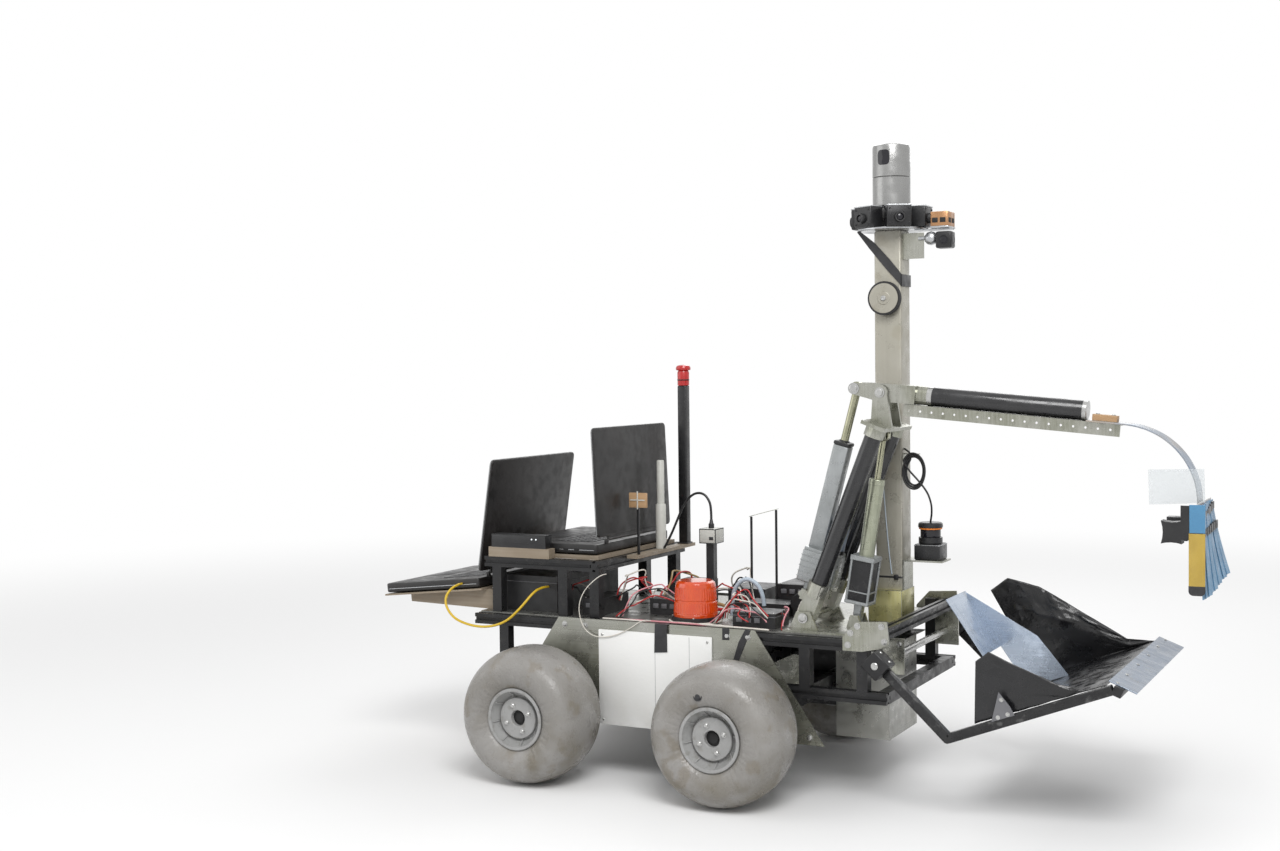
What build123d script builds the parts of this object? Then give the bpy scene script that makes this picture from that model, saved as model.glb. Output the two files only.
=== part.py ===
from build123d import *
from math import atan2, cos, degrees, hypot, pi, radians, sin
import os

# Planetary rover: four balloon wheels on a slotted-bar frame, a front scoop, a two-link arm with
# a brush, a square instrument mast and a rear shelf with two laptop computers.
# Millimetres, +X forward, +Y to the rover's left, +Z up, floor at z = 0.
# A station is a distance forward of the point midway between the axles. When the pieces are
# written they move back by REACH_MIDDLE, so that the origin is under the middle of the length.

# Clearance between pieces that lie against each other, play of a pin in its bore, and how far a
# block reaches into the one that it is fused with
SEAT = 0.3
PIN_FIT = 0.05
FUSE = 1

# Overall reach
REAR_REACH = -762
FRONT_REACH = 1238
REACH_MIDDLE = (REAR_REACH + FRONT_REACH) / 2

# Wheels
WHEELBASE = 487
TRACK = 730
TYRE_RADIUS = 157
TYRE_WIDTH = 180
TYRE_GAP = 20
BEAD_RADIUS = 66
TYRE_SIDES = 28
TYRE_SECTION = [  # share of half the width, share of the way from bead to tread
    (0.78, 0.0), (0.94, 0.28), (1.0, 0.52), (0.93, 0.78), (0.70, 0.95), (0.26, 1.0),
]
RIM_WIDTH = 156
RIM_WALL = 5
RIM_FIT = 0.2
LIP_RADIUS = 71
LIP_WIDTH = 4
DISH_RADIUS = 63
HUB_PLATE_RADIUS = 47
HUB_PLATE_BACK = 46
HUB_PLATE_FACE = 62
DISH_SIDES = 20
HUB_BORE_RADIUS = 18
HUB_BORE_DEPTH = 9
BORE_SIDES = 12
AXLE_RADIUS = 12
PIN_SIDES = 12

# Frame bars
BAR = 25
SLOT_WIDTH = 8
SLOT_DEPTH = 5
FRAME_HALF_WIDTH = TRACK / 2 - TYRE_WIDTH / 2 - TYRE_GAP
TOP_RAIL_TOP = 360
LOWER_RAIL_TOP = 249.5
TOP_RAIL_REAR = -470
TOP_RAIL_FRONT = 507.5
LOWER_RAIL_REAR = -400
LOWER_RAIL_FRONT = 575
DECK_THICKNESS = 3
DECK_REAR = -468
DECK_FRONT = 534

# Side plates and sign
PLATE_THICKNESS = 3
PLATE_TOP = 366
PLATE_BOTTOM = 123
PLATE_TOP_REAR = -232
PLATE_TOP_FRONT = 272
PLATE_BOTTOM_REAR = -394
PLATE_BOTTOM_FRONT = 434
PLATE_HOLE_RADIUS = 31
PLATE_HOLE_SIDES = 16
SIGN_REAR = -122
SIGN_FRONT = 168
SIGN_TOP = 344
SIGN_THICKNESS = 5

# Drives
BEARING_PLATE_WIDTH = 96
BEARING_PLATE_BOTTOM = 108
BEARING_PLATE_THICKNESS = 7
BOSS_RADIUS = 26
BOSS_OUTSET = 9
BOSS_REACH = FRAME_HALF_WIDTH + BOSS_OUTSET
BOSS_LENGTH = 32
GEARBOX_WIDTH = 64
GEARBOX_LENGTH = 72
MOTOR_RADIUS = 26
MOTOR_LENGTH = 90
MOTOR_SIDES = 10

# Sample bin under the front of the deck
BIN_REAR = 402
BIN_FRONT = 528
BIN_HALF_WIDTH = 98
BIN_BOTTOM = 112
BIN_TOP = 322
BIN_WALL = 2
BIN_FLANGE_INSET = 65
BIN_HANGERS = (414, 492)
HANGER_INSET = 115
HANGER_WIDTH = 16
HANGER_THICKNESS = 4

# Battery box under the deck
BATTERY_LENGTH = 310
BATTERY_WIDTH = 240
BATTERY_HEIGHT = 72

# Scoop hinge
SHAFT_STATION = 568
SHAFT_HEIGHT = 318
SHAFT_RADIUS = 8
FRONT_CROSS_STATION = 560
SHAFT_UNDER_CROSS = 69
FRONT_CROSS_TOP = SHAFT_HEIGHT + SHAFT_UNDER_CROSS
BEARING_HANGER_INSET = 55
BEARING_HANGER_OFFSET = FRAME_HALF_WIDTH - BEARING_HANGER_INSET
BEARING_HANGER_THICKNESS = 6
BEARING_HANGER_REACH = (-26, 30)
BEARING_HANGER_DROP = 34
CLAMP_SIZE = 46
CLAMP_OUTSET = 33
CLAMP_OFFSET = FRAME_HALF_WIDTH + CLAMP_OUTSET
SHAFT_END = 3
SHAFT_HALF_LENGTH = CLAMP_OFFSET + CLAMP_SIZE / 2 + SHAFT_END
BRACKET_THICKNESS = 4
BRACKET_OUTLINE = [(478, 337), (478, 366), (510, 401), (578, 405), (584, 350), (520, 337)]

# Scoop
ARM_TUBE = 20
ARM_OUTSET = 29
ARM_OFFSET = FRAME_HALF_WIDTH + ARM_OUTSET
SCOOP_CORNER = (718, 175)
SCOOP_TIP = (1053, 305)
BLADE_BACK = (1044, 320)
BLADE_FRONT = (1098, 298.7)
BLADE_THICKNESS = 2.5
CROSS_BAR_SETBACK = 24
GUSSET_OUTLINE = [(812, 220), (860, 238), (850, 256), (827, 283)]
GUSSET_THICKNESS = 3
FLAP_TOP = (643, 428)
FLAP_FOOT = (727, 307)
FLAP_SIDES = (-50, 100)
SLIDE_TOP = (811, 336)
SLIDE_FOOT_FRONT = 880
SLIDE_FOOT_REAR = 790
SHEET = 2
FILM = 3
FILM_OVERHANG = 6
FILM_LEFT_INSET = 14
FILM_RIGHT_INSET = 22
FILM_REAR = 772
FILM_FRONT = 1040
FILM_NEAR_EDGE = [(776, 340), (803, 362), (940, 306)]
FILM_FAR_EDGE = [(640, 405), (697, 439), (770, 424), (860, 376), (975, 312)]
FILM_REAR_TOP = (776, 336)
FILM_REAR_REACH = 70

# Arm, on its own centre plane
ARM_INSET = 140
ARM_PLANE = ARM_INSET - FRAME_HALF_WIDTH
SHOULDER = (365, 392)
TUBE_TOP = (522, 795)
ELBOW = (528, 891)
LEVER_PIN = (464, 900)
ELBOW_ACTUATOR_PIN = (341, 440)
SHOULDER_ACTUATOR_PIN = (461, 386)
SHOULDER_ACTUATOR_EYE = (524, 796)
ARM_TUBE_RADIUS = 19
ARM_TUBE_SPACING = 125
TUBE_SIDES = 20
BOOM_SLOPE = -5.2
BOOM_RADIUS = 21
BOOM_ROOT_END = 76
BOOM_FERRULE_END = 108
FERRULE_STEP = 0.5
BOOM_TUBE_END = 441
SHOULDER_PIN_RADIUS = 7
ELBOW_PIN_RADIUS = 8
ARM_PIN_RADIUS = 6
SMALL_PIN_RADIUS = 4
EYE_FIT = 4
EYE_NECK = 2
GLAND_FIT = 0.2
EYE_SIDES = 12
ROUND_END_STEPS = 6

# Arm mount
MOUNT_PLATE = (322, 500)
MOUNT_PLATE_THICKNESS = 4
MOUNT_PLATE_MARGIN = 26
CHEEK_GAP = 1
CHEEK_THICKNESS = 6
SHOULDER_PIN_END = 2
CHEEK_FOOT = 34
CHEEK_HEAD = 16
CHEEK_RISE = 14
CLEVIS_GAP = 18
CLEVIS_THICKNESS = 8
CLEVIS_FOOT = 18
CLEVIS_RISE = 9

# Knuckles at the foot of the arm tubes and the elbow plates at their top
KNUCKLE_RADIUS = 18
KNUCKLE_WIDTH = 38
KNUCKLE_LENGTH = 58
FERRULE_RADIUS = 24
FERRULE_REACH = (50, 82)
LINK_WIDTH = 8
LINK_DEPTH = 24
LINK_REACH = 40
TOP_FERRULE_RADIUS = 23
TOP_FERRULE_LENGTH = 24
TOP_BLOCK = (56, 190, 8)
TOP_BLOCK_REACH = 26
ELBOW_PLATE_INSET = 2
EYE_PLATE_LAND = 3
ELBOW_PLATE_GAP = 28
ELBOW_PLATE_THICKNESS = 8
ELBOW_PLATE_RADIUS = 17
EYE_PLATE_GAP = 13
EYE_PLATE_THICKNESS = 6

# Boom root: lever plates from the elbow pin to the actuator's pin
ROOT_HALF_WIDTH = 25
ROOT_SLOT_HALF_WIDTH = 16
ROOT_HALF_DEPTH = 20
LEVER_NOSE = 13
LEVER_ROOT = -8
LEVER_SLOT_END = -25

# Perforated angle under the boom
ANGLE_START = 50
ANGLE_END = 514
ANGLE_DEPTH = 26
ANGLE_SHEET = 3
ANGLE_OFFSET = -16
ANGLE_FLANGE = 12
ANGLE_HOLES = 18
ANGLE_PITCH = 25.4
ANGLE_HOLE_RADIUS = 2.8
ANGLE_HOLE_SIDES = 6

# Strap and tool at the end of the boom
STRAP_START = 446
STRAP_WIDTH = 60
STRAP_THICKNESS = 3
STRAP_BEND = 155
STRAP_BEND_START = 525
STRAP_BEND_STEPS = 7
STRAP_DROP = 16
SPACER = (455, 505)
SPACER_THICKNESS = 13
SPACER_HALF_WIDTH = 12
TOOL_NEAR = -200
TOOL_FAR = -20
HEADER_THICKNESS = 5
HEADER_LAP = 14
HEADER_HEIGHT = 58
HEADER_END_PLATE = 3
HEADER_END_REACH = 26
HEADER_END_DROP = 10
MAGNET_REACH = (-64, -24)
MAGNET_DROP = (-78, -30)
MAGNET_WIDTH = 34
MAGNET_HOLLOW_RADIUS = 70
MAGNET_HOLLOW_DEPTH = 4
MAGNET_HOLLOW_SIDES = 40
STRIP_COUNT = 6
STRIP_THICKNESS = 3
STRIP_GAP = 1
STRIP_SPLAY = (7, 6)
STRIP_BOTTOM = (478, 7)
PADDLE_REACH = (-10, 21)
PADDLE_HEIGHTS = (488, 611)
PADDLE_THICKNESS = 4

# Actuators: each block is across, along Y and along the rod, from the base pin
ELBOW_MOTOR_CASE = ((-24, 60), (-31, 31), (24, 104))
ELBOW_EYE_BLOCK = ((-9, 9), (-10, 10), (-9, 26))
ELBOW_MOTOR_OFFSET = 40
ELBOW_MOTOR_RADIUS = 21
ELBOW_MOTOR_END = 176
ELBOW_CYLINDER = ((-18, 18), (-18, 18), (103, 352))
ELBOW_BORE_RADIUS = 12
ELBOW_BORE = (110, 340)
ELBOW_ROD_RADIUS = 9
ELBOW_ROD_START = 190
ELBOW_EYE_RADIUS = 15
ELBOW_EYE_WIDTH = 9
SHOULDER_EYE_BLOCK = ((-9, 9), (-12, 12), (-9, 36))
SHOULDER_MOTOR_CASE = ((-28, 28), (-28, 28), (34, 142))
SHOULDER_CYLINDER_RADIUS = 18
SHOULDER_CYLINDER_END = 316
SHOULDER_BORE_RADIUS = 11
SHOULDER_BORE = (150, 306)
SHOULDER_ROD_RADIUS = 7
SHOULDER_ROD_START = 200
SHOULDER_EYE_RADIUS = 14
SHOULDER_EYE_WIDTH = 8

# Mast
MAST_SIZE = 63.5
MAST_WALL = 3.2
MAST_STATION = 500
MAST_GAP = 135
MAST_OFFSET = ARM_PLANE + MAST_GAP
MAST_TOP = 1256
SHROUD_WALL = 14
SHROUD_HEIGHT = 76
PULLEY_RADIUS = 38.5
PULLEY_HEIGHT = 1102
PULLEY_SETBACK = 3
PULLEY_CHEEK = 4
PULLEY_GROOVE = 3
PULLEY_GROOVE_RADIUS = 34
PULLEY_HUB = (8, 18)
PULLEY_SIDES = 18
PLATFORM_RADIUS = 78
PLATFORM_THICKNESS = 5
PLATFORM_SIDES = 28
CAMERA_HEADINGS = (180, 240, 300, 0, 60, 120)
CAMERA_CASE = ((50, 88), (-28, 28), (0, 48))
CAMERA_LENS = ((86, 97), 20, 12)
LENS_SIDES = 8
SIDE_CAMERA = ((99, 140), (-30, 26), (-1, 37))
SIDE_CAMERA_ARM = ((60, 140), (-20, 20), (-3, 0))
HEAD_ANGLE_REACH = 50
HEAD_ANGLE_HALF = 20
HEAD_ANGLE_HEIGHTS = (-66, -8)
HEAD_ANGLE_SHEET = 3
BALL_STEM_REACH = 22
BALL_STEM = (-18.5, -26, 5)
BALL_CAMERA = ((70, 118), (-36, -4), (-46, -8))
LIDAR_RADIUS = 42.7
LIDAR_STAND_RADIUS = 34
LIDAR_STAND_HEIGHT = 50
LIDAR_BASE_HEIGHT = 66
LIDAR_HEAD_HEIGHT = 78
LIDAR_SPINDLE_RADIUS = 6
LIDAR_SPINDLE_LENGTH = 20
SCANNER_SHELF = 508
SCANNER_SHELF_THICKNESS = 4
SCANNER_SHELF_LENGTH = 92
SCANNER_SHELF_DEPTH = 68
SCANNER_REACH = 54
SCANNER_OFFSET = 6
SCANNER_HALF = 30
SCANNER_FOOT = 37
SCANNER_STEPS = [(27, 23, 0, 14), (23, 23, 14, 36), (28, 28, 36, 48)]
SCANNER_SIDES = 16


# Basic shapes

def block(xs, ys, zs):
    """Box between two stations, two offsets and two heights."""
    size = [high - low for low, high in (xs, ys, zs)]
    middle = [(high + low) / 2 for low, high in (xs, ys, zs)]
    return Pos(*middle) * Box(*size)


def prism(start, end, radius, sides):
    """Bar of regular polygon section between two points, with its corners at the radius."""
    run = Vector(*end) - Vector(*start)
    section = Plane(origin=start, z_dir=run).location * RegularPolygon(radius, sides)
    return extrude(section, run.length)


def cross_prism(point, ys, radius, sides):
    """Polygon bar along Y at an (x, z) point."""
    return prism((point[0], ys[0], point[1]), (point[0], ys[1], point[1]), radius, sides)


def cross_pin(point, ys, radius):
    """Pin or shaft along Y at an (x, z) point, with few sides."""
    return cross_prism(point, ys, radius, PIN_SIDES)


def bore_for(radius):
    """Corner radius of the polygon hole in which a pin of that radius turns freely."""
    return (radius + PIN_FIT) / cos(pi / BORE_SIDES)


def upright_prism(x, y, zs, radius, sides):
    """Polygon bar along Z at a station and an offset."""
    return prism((x, y, zs[0]), (x, y, zs[1]), radius, sides)


def polygon_ring(radius, reach, sides):
    """Corners of a regular polygon across z, with its first corner on x."""
    turns = [2 * pi * side / sides for side in range(sides)]
    return [(radius * cos(turn), radius * sin(turn), reach) for turn in turns]


def flat_bands(rings):
    """Flat four-sided faces between each polygon and the next."""
    bands = []
    for low, high in zip(rings, rings[1:]):
        for first, second, third, fourth in zip(low, low[1:] + low[:1], high[1:] + high[:1], high):
            bands.append(Face(Wire.make_polygon([first, second, third, fourth])))
    return bands


def tapered(sections, sides, centre=(0, 0, 0), axis=(0, 0, 1)):
    """Solid through a stack of regular polygons, each a (radius, distance along the axis)."""
    rings = [polygon_ring(radius, reach, sides) for radius, reach in sections]
    ends = [Face(Wire.make_polygon(ring)) for ring in (rings[0], rings[-1])]
    return Plane(origin=centre, z_dir=axis).location * Solid(Shell(flat_bands(rings) + ends))


def polygon_tyre(section, sides):
    """Closed section of (radius, distance along the axis) points carried round a regular polygon."""
    rings = [polygon_ring(radius, reach, sides) for radius, reach in section]
    return Solid(Shell(flat_bands(rings + rings[:1])))


def along(start, end):
    """Frame at start whose z runs to end and whose y stays level with the rover's Y."""
    run = Vector(*end) - Vector(*start)
    level = Vector(0, 1, 0)
    return Plane(origin=start, x_dir=level.cross(run), z_dir=run)


def beam(start, end, depth, width):
    """Rectangular bar between two points: depth across it, width along Y."""
    length = (Vector(*end) - Vector(*start)).length
    return along(start, end).location * Box(
        depth, width, length, align=(Align.CENTER, Align.CENTER, Align.MIN))


def bar_plane(start, run):
    """Frame at the start of a level or upright bar, square to the rover."""
    side = Vector(0, 0, 1) if abs(run.Z) < abs(run.X) + abs(run.Y) else Vector(1, 0, 0)
    return Plane(origin=start, x_dir=side, z_dir=run)


def plain_bar(start, end):
    """Square frame bar without grooves, for the places that the deck and plates hide."""
    run = Vector(*end) - Vector(*start)
    return bar_plane(start, run).location * extrude(Rectangle(BAR, BAR), run.length)


def slotted_bar(start, end):
    """Square frame bar with one groove along each side."""
    run = Vector(*end) - Vector(*start)
    section = Rectangle(BAR, BAR)
    for x, y, width, height in ((1, 0, SLOT_DEPTH, SLOT_WIDTH), (-1, 0, SLOT_DEPTH, SLOT_WIDTH),
                                (0, 1, SLOT_WIDTH, SLOT_DEPTH), (0, -1, SLOT_WIDTH, SLOT_DEPTH)):
        reach = (BAR - SLOT_DEPTH) / 2
        section -= Pos(x * reach, y * reach) * Rectangle(width, height)
    return bar_plane(start, run).location * extrude(section, run.length)


def profile_plate(points, ys):
    """Plate with an (x, z) outline, between two offsets."""
    low, high = min(ys), max(ys)
    face = make_face(Polyline(*[(x, low, z) for x, z in points], close=True))
    return extrude(face, high - low, dir=(0, 1, 0))


def mirrored(solid):
    """The same piece on the other side of the centre plane."""
    return mirror(solid, about=Plane.XZ)


def shift(point, heading, distance):
    """Point moved along a heading in degrees, in the (x, z) plane."""
    return (point[0] + distance * cos(radians(heading)), point[1] + distance * sin(radians(heading)))


def round_end(centre, heading, radius):
    """Half a circle of points round a plate's end, from the left of its heading to the right."""
    turns = [90 - 180 * step / ROUND_END_STEPS for step in range(ROUND_END_STEPS + 1)]
    return [shift(centre, heading + turn, radius) for turn in turns]


def across_arm(half_width):
    """Offsets at both sides of the arm's centre plane."""
    return ARM_PLANE - half_width, ARM_PLANE + half_width


def pair_about_arm(inner, outer):
    """Offsets of two plates at equal distances from the arm's centre plane."""
    return (ARM_PLANE - outer, ARM_PLANE - inner), (ARM_PLANE + inner, ARM_PLANE + outer)


def spot(point, offset):
    """An (x, z) point placed at an offset."""
    return (point[0], offset, point[1])


# Wheels

WHEELS = [  # name, station, side
    ("front_right", WHEELBASE / 2, -1),
    ("front_left", WHEELBASE / 2, 1),
    ("rear_right", -WHEELBASE / 2, -1),
    ("rear_left", -WHEELBASE / 2, 1),
]


def tyre():
    """Balloon tyre: from the near bead over the tread to the far bead and back along its flat seat."""
    half, height = TYRE_WIDTH / 2, TYRE_RADIUS - BEAD_RADIUS
    far_side = [(BEAD_RADIUS + up * height, out * half) for out, up in TYRE_SECTION]
    near_side = [(radius, -reach) for radius, reach in far_side]
    return polygon_tyre(near_side + far_side[::-1], TYRE_SIDES)


def rim():
    """Dished rim: barrel with a lip, sloping dish, and a raised hub plate with a sunk bore."""
    barrel = BEAD_RADIUS - RIM_FIT
    end = RIM_WIDTH / 2
    body = upright_prism(0, 0, (-end, end), barrel, TYRE_SIDES)
    body += upright_prism(0, 0, (end - LIP_WIDTH, end), LIP_RADIUS, TYRE_SIDES)
    body -= tapered([(HUB_PLATE_RADIUS, HUB_PLATE_BACK + RIM_WALL), (DISH_RADIUS, end)], DISH_SIDES)
    body -= upright_prism(0, 0, (-end, HUB_PLATE_BACK), barrel - RIM_WALL, DISH_SIDES)
    body += upright_prism(0, 0, (HUB_PLATE_BACK, HUB_PLATE_FACE), HUB_PLATE_RADIUS, DISH_SIDES)
    bore_floor = HUB_PLATE_FACE - HUB_BORE_DEPTH
    return body - upright_prism(0, 0, (bore_floor, HUB_PLATE_FACE), HUB_BORE_RADIUS, BORE_SIDES)


def axle():
    """Drive shaft from the bearing in the frame to the hub plate."""
    inner_end = BOSS_REACH - BOSS_LENGTH - TRACK / 2
    return upright_prism(0, 0, (inner_end, HUB_PLATE_BACK + FUSE), AXLE_RADIUS, PIN_SIDES)


def wheel_parts():
    nodes = {}
    shapes = {"tyre": tyre(), "hub": rim() + axle()}
    for name, station, side in WHEELS:
        seat = Plane(origin=(station, side * TRACK / 2, TYRE_RADIUS), x_dir=(1, 0, 0), z_dir=(0, side, 0))
        for kind, shape in shapes.items():
            nodes[f"{kind}_{name}"] = [seat.location * shape]
    return nodes


# Chassis

RAIL_OFFSET = FRAME_HALF_WIDTH - BAR / 2
CROSS_HALF = FRAME_HALF_WIDTH - BAR
TOP_RAIL_MIDDLE = TOP_RAIL_TOP - BAR / 2
LOWER_RAIL_MIDDLE = LOWER_RAIL_TOP - BAR / 2
DECK_TOP = TOP_RAIL_TOP + DECK_THICKNESS
TOP_CROSS_STATIONS = (-457.5, -150, 130, 330, *BIN_HANGERS)
LOWER_CROSS_STATIONS = (-387.5, -150, 150, 380, 562.5)
POST_STATIONS = (-387.5, -20, 387.5, 520)


def inside_rails(right, left):
    """Offsets of two sides, each its own distance inside the long rails' inner faces."""
    return right - CROSS_HALF, CROSS_HALF - left


def frame_parts():
    top_rails, lower_rails, posts = [], [], []
    for side in (-1, 1):
        y = side * RAIL_OFFSET
        top_rails.append(slotted_bar((TOP_RAIL_REAR, y, TOP_RAIL_MIDDLE),
                                     (TOP_RAIL_FRONT, y, TOP_RAIL_MIDDLE)))
        lower_rails.append(slotted_bar((LOWER_RAIL_REAR, y, LOWER_RAIL_MIDDLE),
                                       (LOWER_RAIL_FRONT, y, LOWER_RAIL_MIDDLE)))
        for x in POST_STATIONS:
            top = TOP_RAIL_TOP - BAR if x < TOP_RAIL_FRONT else FRONT_CROSS_TOP
            posts.append(plain_bar((x, y, LOWER_RAIL_TOP), (x, y, top)))
    top_cross = [plain_bar((x, -CROSS_HALF, TOP_RAIL_MIDDLE), (x, CROSS_HALF, TOP_RAIL_MIDDLE))
                 for x in TOP_CROSS_STATIONS]
    lower_cross = [plain_bar((x, -CROSS_HALF, LOWER_RAIL_MIDDLE), (x, CROSS_HALF, LOWER_RAIL_MIDDLE))
                   for x in LOWER_CROSS_STATIONS]
    cross_middle = FRONT_CROSS_TOP - BAR / 2
    front_cross = slotted_bar((FRONT_CROSS_STATION, -FRAME_HALF_WIDTH, cross_middle),
                              (FRONT_CROSS_STATION, FRAME_HALF_WIDTH, cross_middle))
    deck = block((DECK_REAR, DECK_FRONT), (-CROSS_HALF, CROSS_HALF), (TOP_RAIL_TOP, DECK_TOP))
    return {
        "long_rails": top_rails + lower_rails,
        "cross_rails": top_cross + lower_cross + [front_cross],
        "frame_posts": posts,
        "deck_plate": [deck],
    }


def plate_parts():
    outline = [(PLATE_TOP_REAR, PLATE_TOP), (PLATE_TOP_FRONT, PLATE_TOP),
               (PLATE_BOTTOM_FRONT, PLATE_BOTTOM), (PLATE_BOTTOM_REAR, PLATE_BOTTOM)]
    plate = (FRAME_HALF_WIDTH, FRAME_HALF_WIDTH + PLATE_THICKNESS)
    left = profile_plate(outline, plate)
    for x in (-WHEELBASE / 2, WHEELBASE / 2):
        left -= cross_prism((x, TYRE_RADIUS), plate, PLATE_HOLE_RADIUS, PLATE_HOLE_SIDES)
    outer = -FRAME_HALF_WIDTH - PLATE_THICKNESS
    sign = block((SIGN_REAR, SIGN_FRONT), (outer - SIGN_THICKNESS, outer), (PLATE_BOTTOM, SIGN_TOP))
    brackets = profile_plate(BRACKET_OUTLINE, (FRAME_HALF_WIDTH, FRAME_HALF_WIDTH + BRACKET_THICKNESS))
    rear, front = BEARING_HANGER_REACH
    hanger_sides = (BEARING_HANGER_OFFSET, BEARING_HANGER_OFFSET + BEARING_HANGER_THICKNESS)
    hanger = block((SHAFT_STATION + rear, SHAFT_STATION + front), hanger_sides,
                   (SHAFT_HEIGHT - BEARING_HANGER_DROP, FRONT_CROSS_TOP - BAR))
    hanger -= cross_prism((SHAFT_STATION, SHAFT_HEIGHT), hanger_sides, bore_for(SHAFT_RADIUS), BORE_SIDES)
    return {
        "side_plates": [left, mirrored(left)],
        "sign_board": [sign],
        "front_plates": [brackets, mirrored(brackets), hanger, mirrored(hanger)],
    }


def drive_parts():
    units = []
    plate_outer = CROSS_HALF
    plate_inner = plate_outer - BEARING_PLATE_THICKNESS
    gearbox_end = plate_inner - GEARBOX_LENGTH
    for _, x, side in WHEELS:
        unit = block((x - BEARING_PLATE_WIDTH / 2, x + BEARING_PLATE_WIDTH / 2), (plate_inner, plate_outer),
                     (BEARING_PLATE_BOTTOM, LOWER_RAIL_TOP))
        unit += cross_prism((x, TYRE_RADIUS), (plate_inner, BOSS_REACH), BOSS_RADIUS, BORE_SIDES)
        unit -= cross_prism((x, TYRE_RADIUS), (BOSS_REACH - BOSS_LENGTH, BOSS_REACH),
                            bore_for(AXLE_RADIUS), BORE_SIDES)
        unit += block((x - GEARBOX_WIDTH / 2, x + GEARBOX_WIDTH / 2), (gearbox_end, plate_inner),
                      (TYRE_RADIUS - GEARBOX_WIDTH / 2, TYRE_RADIUS + GEARBOX_WIDTH / 2))
        unit += cross_prism((x, TYRE_RADIUS), (gearbox_end - MOTOR_LENGTH, gearbox_end),
                            MOTOR_RADIUS, MOTOR_SIDES)
        units.append(unit if side > 0 else mirrored(unit))
    return {"drive_units": units}


def bin_parts():
    tray = block((BIN_REAR, BIN_FRONT), (-BIN_HALF_WIDTH, BIN_HALF_WIDTH), (BIN_BOTTOM, BIN_TOP))
    flange_half = CROSS_HALF - BIN_FLANGE_INSET + BIN_WALL
    tray += block((BIN_REAR, BIN_FRONT), (-flange_half, flange_half), (BIN_TOP - BIN_WALL, BIN_TOP))
    inside_half = BIN_HALF_WIDTH - BIN_WALL
    tray -= block((BIN_REAR + BIN_WALL, BIN_FRONT - BIN_WALL), (-inside_half, inside_half),
                  (BIN_BOTTOM + BIN_WALL, BIN_TOP))
    inner = FRAME_HALF_WIDTH - HANGER_INSET
    for side in (-1, 1):
        for x in BIN_HANGERS:
            tray += block((x - HANGER_WIDTH / 2, x + HANGER_WIDTH / 2),
                          sorted((side * inner, side * (inner + HANGER_THICKNESS))),
                          (BIN_TOP - BIN_WALL, TOP_RAIL_TOP - BAR))
    battery = block((-BATTERY_LENGTH / 2, BATTERY_LENGTH / 2), (-BATTERY_WIDTH / 2, BATTERY_WIDTH / 2),
                    (LOWER_RAIL_TOP, LOWER_RAIL_TOP + BATTERY_HEIGHT))
    return {"sample_bin": [tray], "battery_box": [battery]}


# Deck

DECK_BOXES = [  # rear, front, right, left, height
    (-60, 46, -120, -20, 38),
    (150, 262, -40, 34, 30),
    (196, 300, -208, -128, 34),
    (-100, -18, 60, 176, 52),
    (52, 150, 84, 204, 44),
    (190, 300, 70, 190, 62),
    (-420, -276, -190, 120, 86),
    (-205, -150, -190, -60, 40),
]


SHELF_HEIGHT = 134.5
SHELF_TOP = DECK_TOP + SHELF_HEIGHT
BOARD_SIDES = inside_rails(24, 30)
LINK_BOX_STALK = ((14, 34), (40, 60), (0, 158))
LINK_BOX = ((2, 46), (26, 74), (157, 193))
NETWORK_BOX = (-432, -280)
NETWORK_BOX_OVERHANG = 5
NETWORK_BOX_SIDES = (-CROSS_HALF - NETWORK_BOX_OVERHANG, BOARD_SIDES[0])
NETWORK_BOX_HEIGHT = 32
PACKING_THICKNESS = 23.5
PACKING_MARGIN = 9
BEACON = (90, -180)
BEACON_SIDES = 20
BEACON_BASE = (56, 14)
BEACON_LENS = [(51, 14), (52, 22), (47, 84), (43, 97)]
STOP_POST_INSET = 30
STOP_POST = (-122, CROSS_HALF - STOP_POST_INSET)
STOP_POST_HEIGHT = 407.5
STOP_POST_TOP = SHELF_TOP + STOP_POST_HEIGHT
STOP_STEM = (15, 38)
STOP_CAP = (19, 38, 53)
STOP_SIDES = 12
ANTENNA = (-125, 70)
ANTENNA_STEPS = [(13, 0, 112), (9.5, 112, 222)]
FLAG = (-116, -68)
FLAG_STEM_RADIUS = 6
FLAG_BOARD = ((-140, -92), (-71, -65), (114.5, 150.5))
THIN_RODS = ((131, 50, 225), (196, 50, 243))
THIN_ROD_RADIUS = 3
THIN_ROD_SIDES = 8
WINCH_STATION = 290
WINCH_HEIGHT = DECK_TOP + 35
WINCH_RADIUS = 22
WINCH_SIDES = (-40, 24)
WINCH_CHEEK = 6
WINCH_CHEEK_HALF = 16


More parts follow.
